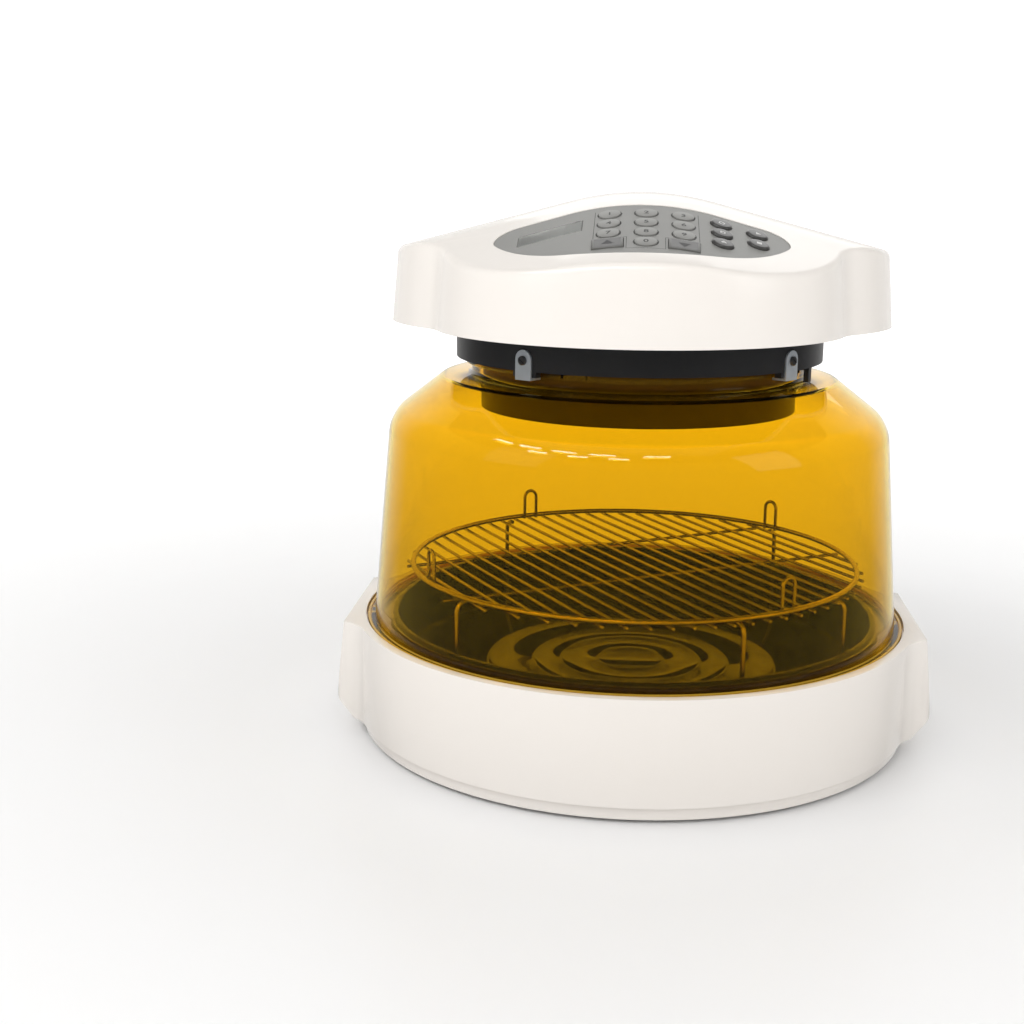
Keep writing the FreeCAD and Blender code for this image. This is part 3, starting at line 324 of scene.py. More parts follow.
def turn(name, stations, steps=256):
    """Piece turned on the Z axis: a circle is drawn out from station to station (radius, height).
    A station on the axis closes the piece there. Otherwise its last station meets its first."""
    bpy.ops.object.select_all(action="DESELECT")
    capped = stations[0][0] == 0
    rest = stations[1:] if capped else stations
    radius, height = rest[0]
    bpy.ops.mesh.primitive_circle_add(vertices=steps, radius=radius, location=(0, 0, height),
                                      fill_type="TRIFAN" if capped else "NOTHING")
    piece = bpy.context.object
    piece.name = name
    bpy.ops.object.transform_apply(location=True)
    bpy.ops.object.mode_set(mode="EDIT")
    bpy.ops.mesh.select_mode(type="EDGE")
    bpy.ops.mesh.select_all(action="SELECT")
    if capped:
        bpy.ops.mesh.region_to_loop()
    for wide, high in rest[1:]:
        bpy.ops.mesh.extrude_edges_move(TRANSFORM_OT_translate={"value": (0, 0, high - height)})
        if wide == 0:
            bpy.ops.mesh.merge(type="CENTER")
        else:
            bpy.ops.transform.resize(value=(wide / radius, wide / radius, 1),
                                     center_override=(0, 0, high))
            radius, height = wide, high
    bpy.ops.mesh.select_all(action="SELECT")
    bpy.ops.mesh.remove_doubles(threshold=1e-6)
    bpy.ops.mesh.normals_make_consistent(inside=False)
    bpy.ops.object.mode_set(mode="OBJECT")
    return piece


def select_edges(piece, wanted):
    """Selects the edges whose two ends both pass a test of their place, and no others."""
    mesh = piece.data
    mesh.polygons.foreach_set("select", [False] * len(mesh.polygons))
    mesh.vertices.foreach_set("select", [False] * len(mesh.vertices))
    for edge in mesh.edges:
        edge.select = all(wanted(mesh.vertices[end].co) for end in edge.vertices)


def round_ring(piece, radius, height, width, segments=4):
    """Rounds one ring of edges of a turned piece, from a width on each side of it."""
    pick_out(piece)
    select_edges(piece, lambda spot: (abs(spot.xy.length - radius) < 2e-5
                                      and abs(spot.z - height) < 2e-5))
    bpy.ops.object.mode_set(mode="EDIT")
    bpy.ops.mesh.select_mode(type="EDGE")
    bpy.ops.mesh.bevel(offset=width, segments=segments, profile=0.5)
    bpy.ops.object.mode_set(mode="OBJECT")


pan_stations = [(0, pan_floor)]
for share in pan_ring_shares:
    middle = pan_bore_radius * share
    pan_stations += [(middle - pan_ring_half, pan_floor),
                     (middle - pan_ring_half / 2, pan_floor + pan_ring_rise * 0.7),
                     (middle, pan_floor + pan_ring_rise),
                     (middle + pan_ring_half / 2, pan_floor + pan_ring_rise * 0.7),
                     (middle + pan_ring_half, pan_floor)]
pan_stations += [(pan_bore_radius, pan_floor), (pan_bore_radius, pan_rim_top),
                 (pan_rim_radius, pan_rim_top), (pan_rim_radius, pan_rim_foot),
                 (pan_bore_radius + pan_skin, pan_rim_foot),
                 (pan_bore_radius + pan_skin, pan_floor - pan_skin), (0, pan_floor - pan_skin)]
pan = turn("liner_pan_pressing", pan_stations)
round_ring(pan, pan_bore_radius, pan_floor, 0.0035, 6)
round_ring(pan, pan_bore_radius + pan_skin, pan_floor - pan_skin, 0.0040, 6)
round_ring(pan, pan_bore_radius, pan_rim_top, 0.0008)
round_ring(pan, pan_rim_radius, pan_rim_top, 0.0009)
enamel_black = surface("enamel_black", (0.006, 0.005, 0.004), (0.010, 0.008, 0.006), 0.04,
                       (0.03, 0.07), 0.012, 0.000004, Specular_IOR_Level=0.14)
fit(pan, enamel_black, "pan", "black_enamel", "liner_pan")

# The wire rack: a welded hoop with bars under it, two cross bars, five legs and four lifting
# loops, all of round steel wire with a bright plating that heat has browned.
rack_level = 0.1121
hoop_radius = 0.1510
hoop_wire = 0.0035
bar_wire = 0.0022
bar_pitch = 0.0122
bar_count = 24
bar_reach = 0.1555
bar_direction = math.radians(-60)
cross_bar_offsets = (-0.030, 0.060)
leg_wire = 0.0030
leg_bend = 0.0060
leg_reach = 0.1555
leg_root = 0.1480
leg_foot_gap = 0.0001
leg_angles = (-43.7, 25.4, 58.7, 136.3, 219.2)
loop_wire = 0.0024
loop_half_width = 0.0050
loop_place = 0.14785
loop_foot = 0.11065
loop_top = 0.1321
loop_angles = (-61.0, 39.7, 135.8, 213.0)
rack_plating = surface("rack_plating", (0.40, 0.35, 0.26), (0.30, 0.24, 0.15), 0.03, (0.14, 0.32),
                       0.002, 0.00003, Metallic=1.0)


def joined(pieces, name):
    """One object from several, each of which keeps its own mesh's place."""
    pick_out(pieces[0])
    for piece in pieces:
        piece.select_set(True)
    bpy.ops.object.join()
    pieces[0].name = name
    return pieces[0]


def placed_copy(piece, place):
    """Copy with its own mesh, moved by a matrix inside that mesh."""
    twin = bpy.data.objects.new(piece.name + "_copy", piece.data.copy())
    scene.collection.objects.link(twin)
    twin.data.transform(place)
    return twin


def removed(piece):
    bpy.data.objects.remove(piece, do_unlink=True)


def rod(name, diameter):
    """Short straight wire along X with rounded tips, to be drawn out to any length."""
    bpy.ops.object.select_all(action="DESELECT")
    half = diameter
    bpy.ops.mesh.primitive_cylinder_add(vertices=12, radius=diameter / 2, depth=2 * half,
                                        rotation=(0, math.pi / 2, 0))
    piece = bpy.context.object
    piece.name = name
    bpy.ops.object.transform_apply(rotation=True)
    select_edges(piece, lambda spot: abs(spot.x) > half * 0.99)
    bpy.ops.object.mode_set(mode="EDIT")
    bpy.ops.mesh.select_mode(type="EDGE")
    bpy.ops.mesh.bevel(offset=diameter * 0.22, segments=3, profile=0.5)
    bpy.ops.object.mode_set(mode="OBJECT")
    return piece


def drawn_rod(pattern, diameter, half_length, offset, level, direction):
    """Copy of a rod drawn out to its length, at an offset from the middle, turned about Z."""
    twin = placed_copy(pattern, Matrix())
    for vertex in twin.data.vertices:
        vertex.co.x += math.copysign(half_length - diameter, vertex.co.x)
    twin.data.transform(Matrix.Rotation(direction, 4, "Z") @ Matrix.Translation((0, offset, level)))
    return twin


def wire_start(name, place, heading, diameter):
    """Opens a bent wire with one round section, in edit mode, ready to be drawn out."""
    bpy.ops.object.select_all(action="DESELECT")
    bpy.ops.mesh.primitive_circle_add(vertices=12, radius=diameter / 2, location=place,
                                      rotation=Vector(heading).to_track_quat("Z", "X").to_euler())
    piece = bpy.context.object
    piece.name = name
    bpy.ops.object.transform_apply(location=True, rotation=True)
    bpy.ops.object.mode_set(mode="EDIT")
    bpy.ops.mesh.select_mode(type="EDGE")
    bpy.ops.mesh.select_all(action="SELECT")
    return piece


def wire_run(move):
    bpy.ops.mesh.extrude_edges_move(TRANSFORM_OT_translate={"value": move})


def wire_bend(centre, axis, degrees, steps):
    bpy.ops.mesh.spin(steps=steps, angle=math.radians(-degrees), center=centre, axis=axis)


def wire_end(piece):
    """Closes both tips of a bent wire."""
    bpy.ops.mesh.select_all(action="SELECT")
    bpy.ops.mesh.remove_doubles(threshold=1e-7)
    bpy.ops.mesh.select_all(action="DESELECT")
    bpy.ops.mesh.select_non_manifold(extend=False)
    bpy.ops.mesh.edge_face_add()
    bpy.ops.mesh.select_all(action="SELECT")
    bpy.ops.mesh.normals_make_consistent(inside=False)
    bpy.ops.object.mode_set(mode="OBJECT")
    return piece


def set_round(pattern, name, angles):
    """Copies of a piece at the front, set round the oven at angles counted towards the right."""
    copies = [placed_copy(pattern, Matrix.Rotation(math.radians(angle), 4, "Z")) for angle in angles]
    removed(pattern)
    return joined(copies, name)


section_turns = [math.radians(30 * step) for step in range(13)]
section = [(math.cos(angle) * hoop_wire / 2, math.sin(angle) * hoop_wire / 2)
           for angle in section_turns]
hoop = turn("rack_hoop_wire", [(hoop_radius + out, rack_level + up) for out, up in section])
fit(hoop, rack_plating, "rack", "rack_chrome", "rack_hoop", crease=60)
bar_level = rack_level - hoop_wire / 2 - bar_wire / 2
bar_pattern = rod("bar_pattern", bar_wire)
bars = []
for number in range(bar_count):
    offset = (number - (bar_count - 1) / 2) * bar_pitch
    half_chord = math.sqrt(bar_reach ** 2 - offset ** 2)
    bars.append(drawn_rod(bar_pattern, bar_wire, half_chord, offset, bar_level, bar_direction))
fit(joined(bars, "rack_bar_wires"), rack_plating, "rack", "rack_chrome", "rack_bars", crease=60)
cross_bars = [drawn_rod(bar_pattern, bar_wire, math.sqrt(bar_reach ** 2 - offset ** 2), offset,
                        bar_level - bar_wire, bar_direction + math.pi / 2)
              for offset in cross_bar_offsets]
fit(joined(cross_bars, "rack_cross_wires"), rack_plating, "rack", "rack_chrome", "rack_cross_bars",
    crease=60)
removed(bar_pattern)
leg_level = rack_level - hoop_wire / 2 - leg_wire / 2
leg = wire_start("leg_pattern", (0, -leg_root, leg_level), (0, -1, 0), leg_wire)
wire_run((0, leg_root - leg_reach + leg_bend, 0))
wire_bend((0, leg_bend - leg_reach, leg_level - leg_bend), (1, 0, 0), 90, 8)
wire_run((0, 0, pan_floor + leg_foot_gap - leg_level + leg_bend))
fit(set_round(wire_end(leg), "rack_leg_wires", leg_angles), rack_plating, "rack", "rack_chrome",
    "rack_legs", crease=60)
loop = wire_start("loop_pattern", (-loop_half_width, -loop_place, loop_foot), (0, 0, 1), loop_wire)
wire_run((0, 0, loop_top - loop_half_width - loop_foot))
wire_bend((0, -loop_place, loop_top - loop_half_width), (0, 1, 0), 180, 16)
wire_run((0, 0, loop_foot - loop_top + loop_half_width))
fit(set_round(wire_end(loop), "rack_loop_wires", loop_angles), rack_plating, "rack", "rack_chrome",
    "rack_loops", crease=60)

# The dome: one clear amber moulding that stands in the base's groove on a flange with a raised
# bead. Its shoulder runs in to a shallow plateau and a neck, whose lip the locks hook under. Its
# index is set below a real plastic's, so that the wall mirrors less over the dark pan.
dome_stations = [
    (0.1746, 0.0732), (0.1824, 0.0732), (0.1824, 0.0768), (0.1802, 0.0768), (0.1802, 0.0757),
    (0.1776, 0.0757), (0.1775, 0.0768), (0.1656, 0.2134), (0.1306, 0.2404), (0.1110, 0.2420),
    (0.1110, 0.2493), (0.1155, 0.2493), (0.1155, 0.2528), (0.1110, 0.2528), (0.1110, 0.2588),
    (0.1080, 0.2588), (0.1080, 0.2390), (0.12910, 0.2374), (0.1626, 0.2119), (0.1746, 0.0732)]
dome_rounds = (
    (0.1824, 0.0768, 0.0008, 4), (0.1802, 0.0768, 0.0008, 4), (0.1656, 0.2134, 0.0105, 14),
    (0.1626, 0.2119, 0.0092, 14), (0.1306, 0.2404, 0.0013, 6), (0.1291, 0.2374, 0.0010, 5),
    (0.1110, 0.2420, 0.0026, 6), (0.1155, 0.2528, 0.0005, 3), (0.1155, 0.2493, 0.0005, 3),
    (0.1110, 0.2588, 0.0006, 3), (0.1080, 0.2588, 0.0006, 3))
lock_angles = (-34.5, 50.2, 130.0, 215.0)
lip_gap_turn = 15
lip_gap_width = 0.016
lip_gap_inner = 0.1111
lip_gap_outer = 0.1205
lip_gap_foot = 0.2480
lip_gap_top = 0.2540
bead_radius = 0.18015
bead_foot = 0.0752
wall_foot_radius = 0.17755
wall_foot_top = 0.0768
amber_index = 1.36
amber_tone = (0.88, 0.62, 0.06, 1)
# Tone of a painted glow on the bead and the wall's foot.
bead_glow_tone = (0.80, 0.50, 0.06, 1)


def clear_moulding(name, tone, roughness, ior):
    """Tinted clear plastic that bends light and lets the lamps' rays straight through."""
    material = bpy.data.materials.new(name)
    material.use_nodes = True
    nodes = material.node_tree.nodes
    links = material.node_tree.links
    shader = nodes["Principled BSDF"]
    shader.inputs["Base Color"].default_value = tone
    shader.inputs["Transmission Weight"].default_value = 1.0
    shader.inputs["Roughness"].default_value = roughness
    shader.inputs["IOR"].default_value = ior
    passing = nodes.new("ShaderNodeBsdfTransparent")
    passing.inputs["Color"].default_value = [math.sqrt(part) for part in tone]
    ray = nodes.new("ShaderNodeLightPath")
    either = nodes.new("ShaderNodeMixShader")
    links.new(ray.outputs["Is Shadow Ray"], either.inputs["Fac"])
    links.new(shader.outputs["BSDF"], either.inputs[1])
    links.new(passing.outputs["BSDF"], either.inputs[2])
    links.new(either.outputs["Shader"], nodes["Material Output"].inputs["Surface"])
    return material


def cut_away(piece, cutter):
    """Takes the form of a cutter out of a piece, and the cutter out of the scene."""
    pick_out(piece)
    cut = piece.modifiers.new("cut", "BOOLEAN")
    cut.operation = "DIFFERENCE"
    cut.solver = "EXACT"
    cut.object = cutter
    bpy.ops.object.modifier_apply(modifier="cut")
    removed(cutter)


def bar_block(name, low, high):
    """Square block between two corners, as a cutter or a blank."""
    bpy.ops.object.select_all(action="DESELECT")
    middle = (Vector(low) + Vector(high)) / 2
    bpy.ops.mesh.primitive_cube_add(size=1, location=middle, scale=Vector(high) - Vector(low))
    piece = bpy.context.object
    piece.name = name
    bpy.ops.object.transform_apply(location=True, scale=True)
    return piece


dome = turn("dome_moulding", dome_stations)
for ring in dome_rounds:
    round_ring(dome, *ring)
gap_block = bar_block("gap_block", (-lip_gap_width / 2, -lip_gap_outer, lip_gap_foot),
                      (lip_gap_width / 2, -lip_gap_inner, lip_gap_top))
cut_away(dome, set_round(gap_block, "gap_blocks", [angle + lip_gap_turn for angle in lock_angles]))
amber = clear_moulding("amber", amber_tone, 0.012, amber_index)
fit(dome, amber, "dome", "amber", "dome", crease=40)
# The bead and the wall's foot take a less clear, partly diffuse amber: a painted glow standing in for
# light that the wall carries down to its edge.
amber_bead_glow = clear_moulding("amber_bead_glow", bead_glow_tone, 0.03, amber_index)
amber_bead_glow.node_tree.nodes["Principled BSDF"].inputs["Transmission Weight"].default_value = 0.35
dome.data.materials.append(amber_bead_glow)
for face in dome.data.polygons:
    spot = face.center
    bead_face = spot.xy.length > bead_radius and spot.z > bead_foot
    foot_face = abs(spot.xy.length - wall_foot_radius) < 0.0001 and spot.z < wall_foot_top
    if bead_face or foot_face:
        face.material_index = 1

# The lower housing: black glass-filled moulding that closes the head and stands on the dome's
# neck with its ring.
housing_black = surface("housing_black", (0.016, 0.016, 0.018), (0.024, 0.024, 0.026), 0.03,
                        (0.32, 0.46), 0.0012, 0.00006)
eased_copy("lower_housing", "head", "black_moulding", housing_black)

# Zinc-plated bayonet locks on the ring, each held by one slotted screw with a rounded head.
ring_radius = 0.1212
lock_sheet = 0.0013
lock_screw_level = 0.2595
screw_head_radius = 0.0029
screw_head_rise = 0.0018
screw_slot_width = 0.0007
screw_slot_turn = 35
screw_slot_depth = 0.0008
screw_round = 0.0009
screw_shank = 0.0056
screw_sink = 0.0019 + 0.0009
zinc = surface("zinc", (0.62, 0.66, 0.70), (0.52, 0.56, 0.60), 0.006, (0.24, 0.42), 0.0006, 0.00003,
               Metallic=0.55)
eased_copy("dome_locks", "head", "zinc", zinc, edge=0.00025)
screw_dark = surface("screw_dark", (0.30, 0.30, 0.31), (0.20, 0.20, 0.21), 0.003, (0.28, 0.45),
                     0.0006, 0.00003, Metallic=1.0)
screw_face = ring_radius + lock_sheet
screw_middle = -screw_face - screw_head_rise / 2 + screw_sink
bpy.ops.object.select_all(action="DESELECT")
bpy.ops.mesh.primitive_cylinder_add(vertices=32, radius=screw_head_radius,
                                    depth=screw_head_rise + screw_shank,
                                    location=(0, screw_middle, lock_screw_level),
                                    rotation=(math.pi / 2, 0, 0))
screw = bpy.context.object
bpy.ops.object.transform_apply(location=True, rotation=True)
head_level = min(vertex.co.y for vertex in screw.data.vertices)
select_edges(screw, lambda spot: abs(spot.y - head_level) < 1e-6)
bpy.ops.object.mode_set(mode="EDIT")
bpy.ops.mesh.select_mode(type="EDGE")
bpy.ops.mesh.bevel(offset=screw_round, segments=5, profile=0.5)
bpy.ops.object.mode_set(mode="OBJECT")
slot_block = bar_block("slot_block", (-0.004, head_level - 0.001, -screw_slot_width / 2),
                       (0.004, head_level + screw_slot_depth, screw_slot_width / 2))
slot_block.data.transform(Matrix.Translation((0, 0, lock_screw_level))
                          @ Matrix.Rotation(math.radians(screw_slot_turn), 4, "Y"))
cut_away(screw, slot_block)
fit(set_round(screw, "lock_screw_heads", lock_angles), screw_dark, "head", "screw_steel",
    "lock_screws")
eased_copy("cover_screws", "head", "screw_steel", screw_dark, edge=0.0002)

# The heater under the head: an aluminised can coloured a dark brown-grey, with a bright reflector, a
# sheathed ring element on sheet hangers and a guard of crossed wires.
element_ring_radius = 0.0790
element_tube = 0.0065
element_level = 0.2360
element_bend = 0.0080
element_gap = math.radians(15)
element_top = 0.2870
guard_wire = 0.0024
guard_reach = 0.1011
guard_count = 7
guard_pitch = 0.025
guard_level = 0.2213
aluminised = surface("aluminised", (0.66, 0.66, 0.66), (0.56, 0.56, 0.57), 0.02, (0.30, 0.50),
                     0.001, 0.00003, Metallic=1.0)
can_dark = surface("can_dark", (0.055, 0.048, 0.040), (0.085, 0.072, 0.058), 0.03, (0.28, 0.42), 0.002,
                   0.00003, Metallic=0.6)
eased_copy("heater_can", "head", "aluminised", can_dark)
for sheet in ("element_clamps", "motor_bracket"):
    eased_copy(sheet, "head", "aluminised", aluminised, edge=0.0003)
bright_sheet = surface("bright_sheet", (0.86, 0.86, 0.85), (0.80, 0.80, 0.79), 0.03, (0.10, 0.20),
                       0.004, 0.00003, Metallic=1.0)
eased_copy("reflector", "head", "reflector_bright", bright_sheet)
guard_pattern = rod("guard_pattern", guard_wire)
guard_rods = []
for number in range(guard_count):
    offset = (number - (guard_count - 1) / 2) * guard_pitch
    for row in range(2):
        half_chord = math.sqrt(guard_reach ** 2 - offset ** 2)
        guard_rods.append(drawn_rod(guard_pattern, guard_wire, half_chord, offset,
                                    guard_level + row * guard_wire, row * math.pi / 2))
removed(guard_pattern)
fit(joined(guard_rods, "can_guard_wires"), rack_plating, "head", "rack_chrome", "can_guard", crease=60)
ring_start = Vector((-math.sin(element_gap), math.cos(element_gap), 0)) * element_ring_radius
ring_way = Vector((-math.cos(element_gap), -math.sin(element_gap), 0))
tip = ring_start - ring_way * element_bend
element = wire_start("heating_element_tube", (*tip.xy, element_top), (0, 0, -1), element_tube)
wire_run((0, 0, element_level + element_bend - element_top))
wire_bend((*ring_start.xy, element_level + element_bend), ring_way.cross((0, 0, 1)), 90, 8)
wire_bend((0, 0, 0), (0, 0, 1), 330, 120)
other_start = Vector((-ring_start.x, ring_start.y, 0))
other_way = Vector((-ring_way.x, ring_way.y, 0))
wire_bend((*other_start.xy, element_level + element_bend), other_way.cross((0, 0, -1)), 90, 8)
wire_run((0, 0, element_top - element_level - element_bend))
sheath = surface("sheath", (0.10, 0.09, 0.085), (0.17, 0.14, 0.12), 0.012, (0.45, 0.65), 0.001,
                 0.00004, Metallic=0.7)
fit(wire_end(element), sheath, "head", "element_sheath", "heating_element", crease=60)
fibre = surface("fibre", (0.74, 0.71, 0.63), (0.62, 0.59, 0.52), 0.006, (0.8, 0.95), 0.0009, 0.0002)
eased_copy("insulation_board", "head", "insulation", fibre, edge=0.0004)

# The fan drive: a shaded-pole motor, its ground shaft, a stamped fan in the can and a moulded
# cooling fan over the motor.
laminated = surface("laminated", (0.42, 0.42, 0.43), (0.34, 0.34, 0.35), 0.01, (0.35, 0.55), 0.0008,
                    0.00005, stretch=(1, 1, 12), Metallic=1.0)
eased_copy("motor", "head", "motor_steel", laminated, edge=0.0004)
ground_steel = surface("ground_steel", (0.66, 0.66, 0.68), (0.58, 0.58, 0.60), 0.01, (0.18, 0.30),
                       0.0008, 0.00002, stretch=(1, 1, 20), Metallic=1.0)
eased_copy("motor_shaft", "fan_rotor", "shaft_steel", ground_steel, edge=0.0004)
stamped = surface("stamped", (0.68, 0.68, 0.68), (0.60, 0.60, 0.61), 0.02, (0.28, 0.42), 0.001,
                  0.00003, Metallic=1.0)
eased_copy("convection_fan", "fan_rotor", "fan_sheet", stamped)
nylon_black = surface("nylon_black", (0.02, 0.02, 0.022), (0.035, 0.035, 0.037), 0.01, (0.45, 0.6),
                      0.001, 0.00006)
eased_copy("cooling_fan", "fan_rotor", "fan_plastic", nylon_black)

# The head cover: white gloss shell with a hand wing at each side, an arched crown, and vents and
# a nylon bush in its rear.
eased_copy("head_cover", "head", "white_shell", shell_white)
eased_copy("cord_gland", "head", "gland_plastic", nylon_black)

# The control film: printed grey polycarbonate with a satin grain, laid into the crown's recess.
# A bordered field holds the number keys, and the display shows through a clear pane.
film_grey = surface("film_grey", (0.255, 0.254, 0.241), (0.240, 0.238, 0.226), 0.05, (0.34, 0.46),
                    0.0004, 0.00002)
eased_copy("panel_overlay", "head", "panel_grey", film_grey)
crown_slope = math.radians(18.3)
crown_arch_radius = 0.174
crown_arch_edge = math.radians(14.8)
crown_top = 0.3595
ridge_end = -0.045
ridge_radius = 0.100
slope_start = Vector((0, ridge_end - ridge_radius * math.sin(crown_slope),
                      crown_top - ridge_radius * (1 - math.cos(crown_slope))))
slope_down = Vector((0, -math.cos(crown_slope), -math.sin(crown_slope)))
slope_square = Vector((0, -math.sin(crown_slope), math.cos(crown_slope)))
film_sink = 0.0004
print_rise = 0.00003
border_width = 0.00035


def crown_lean(x):
    """Turn of the crown's arch at a distance from the middle, up to the arch's edge."""
    turned = math.asin(min(abs(x) / crown_arch_radius, math.sin(crown_arch_edge)))
    return math.copysign(turned, x)


def crown_spot(x, y, rise):
    """Point over the head's front slope, above a place in plan and raised square to the slope."""
    lean = abs(crown_lean(x))
    turned_to = crown_arch_radius * math.sin(lean)
    drop = crown_arch_radius * (1 - math.cos(lean)) + (abs(x) - turned_to) * math.tan(lean)
    along = (y - slope_start.y + slope_square.y * drop) / slope_down.y
    normal = Vector((math.sin(crown_lean(x)), 0, 0)) + slope_square * math.cos(crown_lean(x))
    return slope_start + Vector((x, 0, 0)) + slope_down * along - slope_square * drop + normal * rise


def crown_seat(x, y):
    """Matrix that seats a piece, made flat at the origin, on the slope at a place in plan."""
    normal = Vector((math.sin(crown_lean(x)), 0, 0)) + slope_square * math.cos(crown_lean(x))
    lean = Vector((0, 0, 1)).rotation_difference(normal).to_matrix().to_4x4()
    return Matrix.Translation(crown_spot(x, y, 0)) @ lean


def printed_line(name, start, end, width):
    """Thin line on the film between two places in plan."""
    (x0, y0), (x1, y1) = start, end
    line = bar_block(name, (min(x0, x1) - width / 2, min(y0, y1) - width / 2, -print_rise),
                     (max(x0, x1) + width / 2, max(y0, y1) + width / 2, print_rise))
    bpy.ops.object.mode_set(mode="EDIT")
    bpy.ops.mesh.select_all(action="SELECT")
    bpy.ops.mesh.subdivide(number_cuts=9)
    bpy.ops.object.mode_set(mode="OBJECT")
    for vertex in line.data.vertices:
        vertex.co = crown_spot(vertex.co.x, vertex.co.y, vertex.co.z - film_sink)
    return line


# Black for print, and for the painted shade of the keypad's border.
black_print_and_shade = surface("black_print_and_shade", (0.02, 0.02, 0.02), (0.03, 0.03, 0.03), 0.004, (0.35, 0.5), 0.0005,
                      0.00001)
print_pale = surface("print_pale", (0.62, 0.62, 0.60), (0.56, 0.56, 0.54), 0.004, (0.35, 0.5), 0.0005,
                     0.00001)
# The keypad's border is painted shade: black lines for the shaded side of shallow grooves in the film.
border_runs = (((-0.0275, -0.0900), (-0.0275, -0.1335)), ((0.0334, -0.0900), (0.0334, -0.1335)),
               ((-0.0275, -0.1335), (-0.0083, -0.1335)), ((0.0139, -0.1335), (0.0334, -0.1335)),
               ((-0.0083, -0.1335), (-0.0083, -0.1506)), ((0.0139, -0.1335), (0.0139, -0.1506)),
               ((-0.0083, -0.1506), (0.0139, -0.1506)))
border = [printed_line("border_run", start, end, border_width) for start, end in border_runs]
fit(joined(border, "keypad_border"), black_print_and_shade, "head", "panel_grey")
display_x = -0.0538
display_y = -0.1073
display_half_width = 0.0185
display_half_length = 0.0075
bezel = 0.0006
left_edge = display_x - display_half_width - bezel
right_edge = display_x + display_half_width + bezel
front_edge = display_y - display_half_length - bezel
back_edge = display_y + display_half_length + bezel
bezel_runs = (((left_edge, front_edge), (right_edge, front_edge)),
              ((right_edge, front_edge), (right_edge, back_edge)),
              ((right_edge, back_edge), (left_edge, back_edge)),
              ((left_edge, back_edge), (left_edge, front_edge)))
bezel_lines = [printed_line("bezel_run", start, end, bezel) for start, end in bezel_runs]
fit(joined(bezel_lines, "display_bezel"), black_print_and_shade, "head", "panel_grey")
display_smoke = clear_moulding("display_smoke", (0.72, 0.73, 0.69, 1), 0.30, 1.49)
display_smoke.node_tree.nodes["Principled BSDF"].inputs["Specular IOR Level"].default_value = 0.08
eased_copy("display_window", "head", "display_glass", display_smoke)
display_pane = surface("display_pane", (0.17, 0.18, 0.165), (0.15, 0.16, 0.15), 0.02, (0.25, 0.35),
                       0.001, 0.00002)
eased_copy("display_module", "head", "display_dark", display_pane)
membrane_grey = surface("membrane_grey", (0.05, 0.05, 0.05), (0.07, 0.07, 0.07), 0.01, (0.6, 0.8),
                        0.0008, 0.00005)
eased_copy("key_membrane", "head", "membrane", membrane_grey)

# The keys: grey discs with dark digits, two dark rectangles with arrows, and five dark domed
# buttons with small pale symbols. Each is a pad that sinks a little under the finger.
key_radius = 0.0065
key_foot = 0.0015
key_outline_radius = 0.0073
key_outline_share = 0.05
digit_rise = 0.0003
button_rise = 0.0013
keypad_x = 0.0028
key_pitch_x = 0.0217
key_pitch_y = 0.0150
key_row_y = -0.0966
arrow_y = -0.1420
arrow_half_width = 0.0090
arrow_half_length = 0.0075
button_x = 0.0468
button_pitch_x = 0.0212
digit_height = 0.0062
plate_round = 0.0002
field_margin = 0.0014
arrow_size = 0.0042
key_grey = surface("key_grey", (0.265, 0.264, 0.250), (0.250, 0.248, 0.235), 0.01, (0.34, 0.46), 0.0005,
                   0.00002)
key_dark = surface("key_dark", (0.045, 0.044, 0.042), (0.06, 0.058, 0.055), 0.006, (0.28, 0.40),
                   0.0005, 0.00002, Coat_Weight=0.3)
key_rim_grey = surface("key_rim_grey", (0.150, 0.149, 0.140), (0.130, 0.129, 0.121), 0.006,
                       (0.34, 0.46), 0.0005, 0.00002)


def disc_key(name, rise, round_width, round_steps):
    """Round key, flat at the origin, with its top edge rounded."""
    bpy.ops.object.select_all(action="DESELECT")
    bpy.ops.mesh.primitive_cylinder_add(vertices=64, radius=key_radius, depth=rise + key_foot,
                                        location=(0, 0, (rise - key_foot) / 2))
    piece = bpy.context.object
    piece.name = name
    bpy.ops.object.transform_apply(location=True)
    select_edges(piece, lambda spot: abs(spot.z - rise) < 1e-6)
    bpy.ops.object.mode_set(mode="EDIT")
    bpy.ops.mesh.select_mode(type="EDGE")
    bpy.ops.mesh.bevel(offset=round_width, segments=round_steps, profile=0.5)
    bpy.ops.object.mode_set(mode="OBJECT")
    return piece


def flat_text(name, body, height):
    """Digit as a thin plate round the origin."""
    bpy.ops.object.select_all(action="DESELECT")
    bpy.ops.object.text_add()
    piece = bpy.context.object
    piece.name = name
    piece.data.body = body
    piece.data.size = height
    piece.data.align_x = "CENTER"
    piece.data.align_y = "CENTER"
    piece.data.offset = height * 0.02
    piece.data.extrude = print_rise
    bpy.ops.object.convert(target="MESH")
    return bpy.context.object


def flat_symbol(name, corners, radius, ring=0.0, turn_by=0.0):
    """Small plate with equal sides round the origin, or a ring where a share of its radius is given."""
    bpy.ops.object.select_all(action="DESELECT")
    bpy.ops.mesh.primitive_circle_add(vertices=corners, radius=radius, fill_type="NGON",
                                      rotation=(0, 0, turn_by))
    piece = bpy.context.object
    piece.name = name
    bpy.ops.object.transform_apply(rotation=True)
    bpy.ops.object.mode_set(mode="EDIT")
    bpy.ops.mesh.select_all(action="SELECT")
    if ring:
        bpy.ops.mesh.inset(thickness=radius * ring)
        bpy.ops.mesh.delete(type="FACE")
        bpy.ops.mesh.select_all(action="SELECT")
    bpy.ops.mesh.extrude_region_move(TRANSFORM_OT_translate={"value": (0, 0, print_rise)})
    bpy.ops.mesh.select_all(action="SELECT")
    bpy.ops.mesh.normals_make_consistent(inside=False)
    bpy.ops.object.mode_set(mode="OBJECT")
    return piece


def seat(piece, x, y, rise=0.0):
    """Moves a piece from the origin to its place on the slope, inside its mesh."""
    piece.data.transform(crown_seat(x, y) @ Matrix.Translation((0, 0, rise)))
    return piece


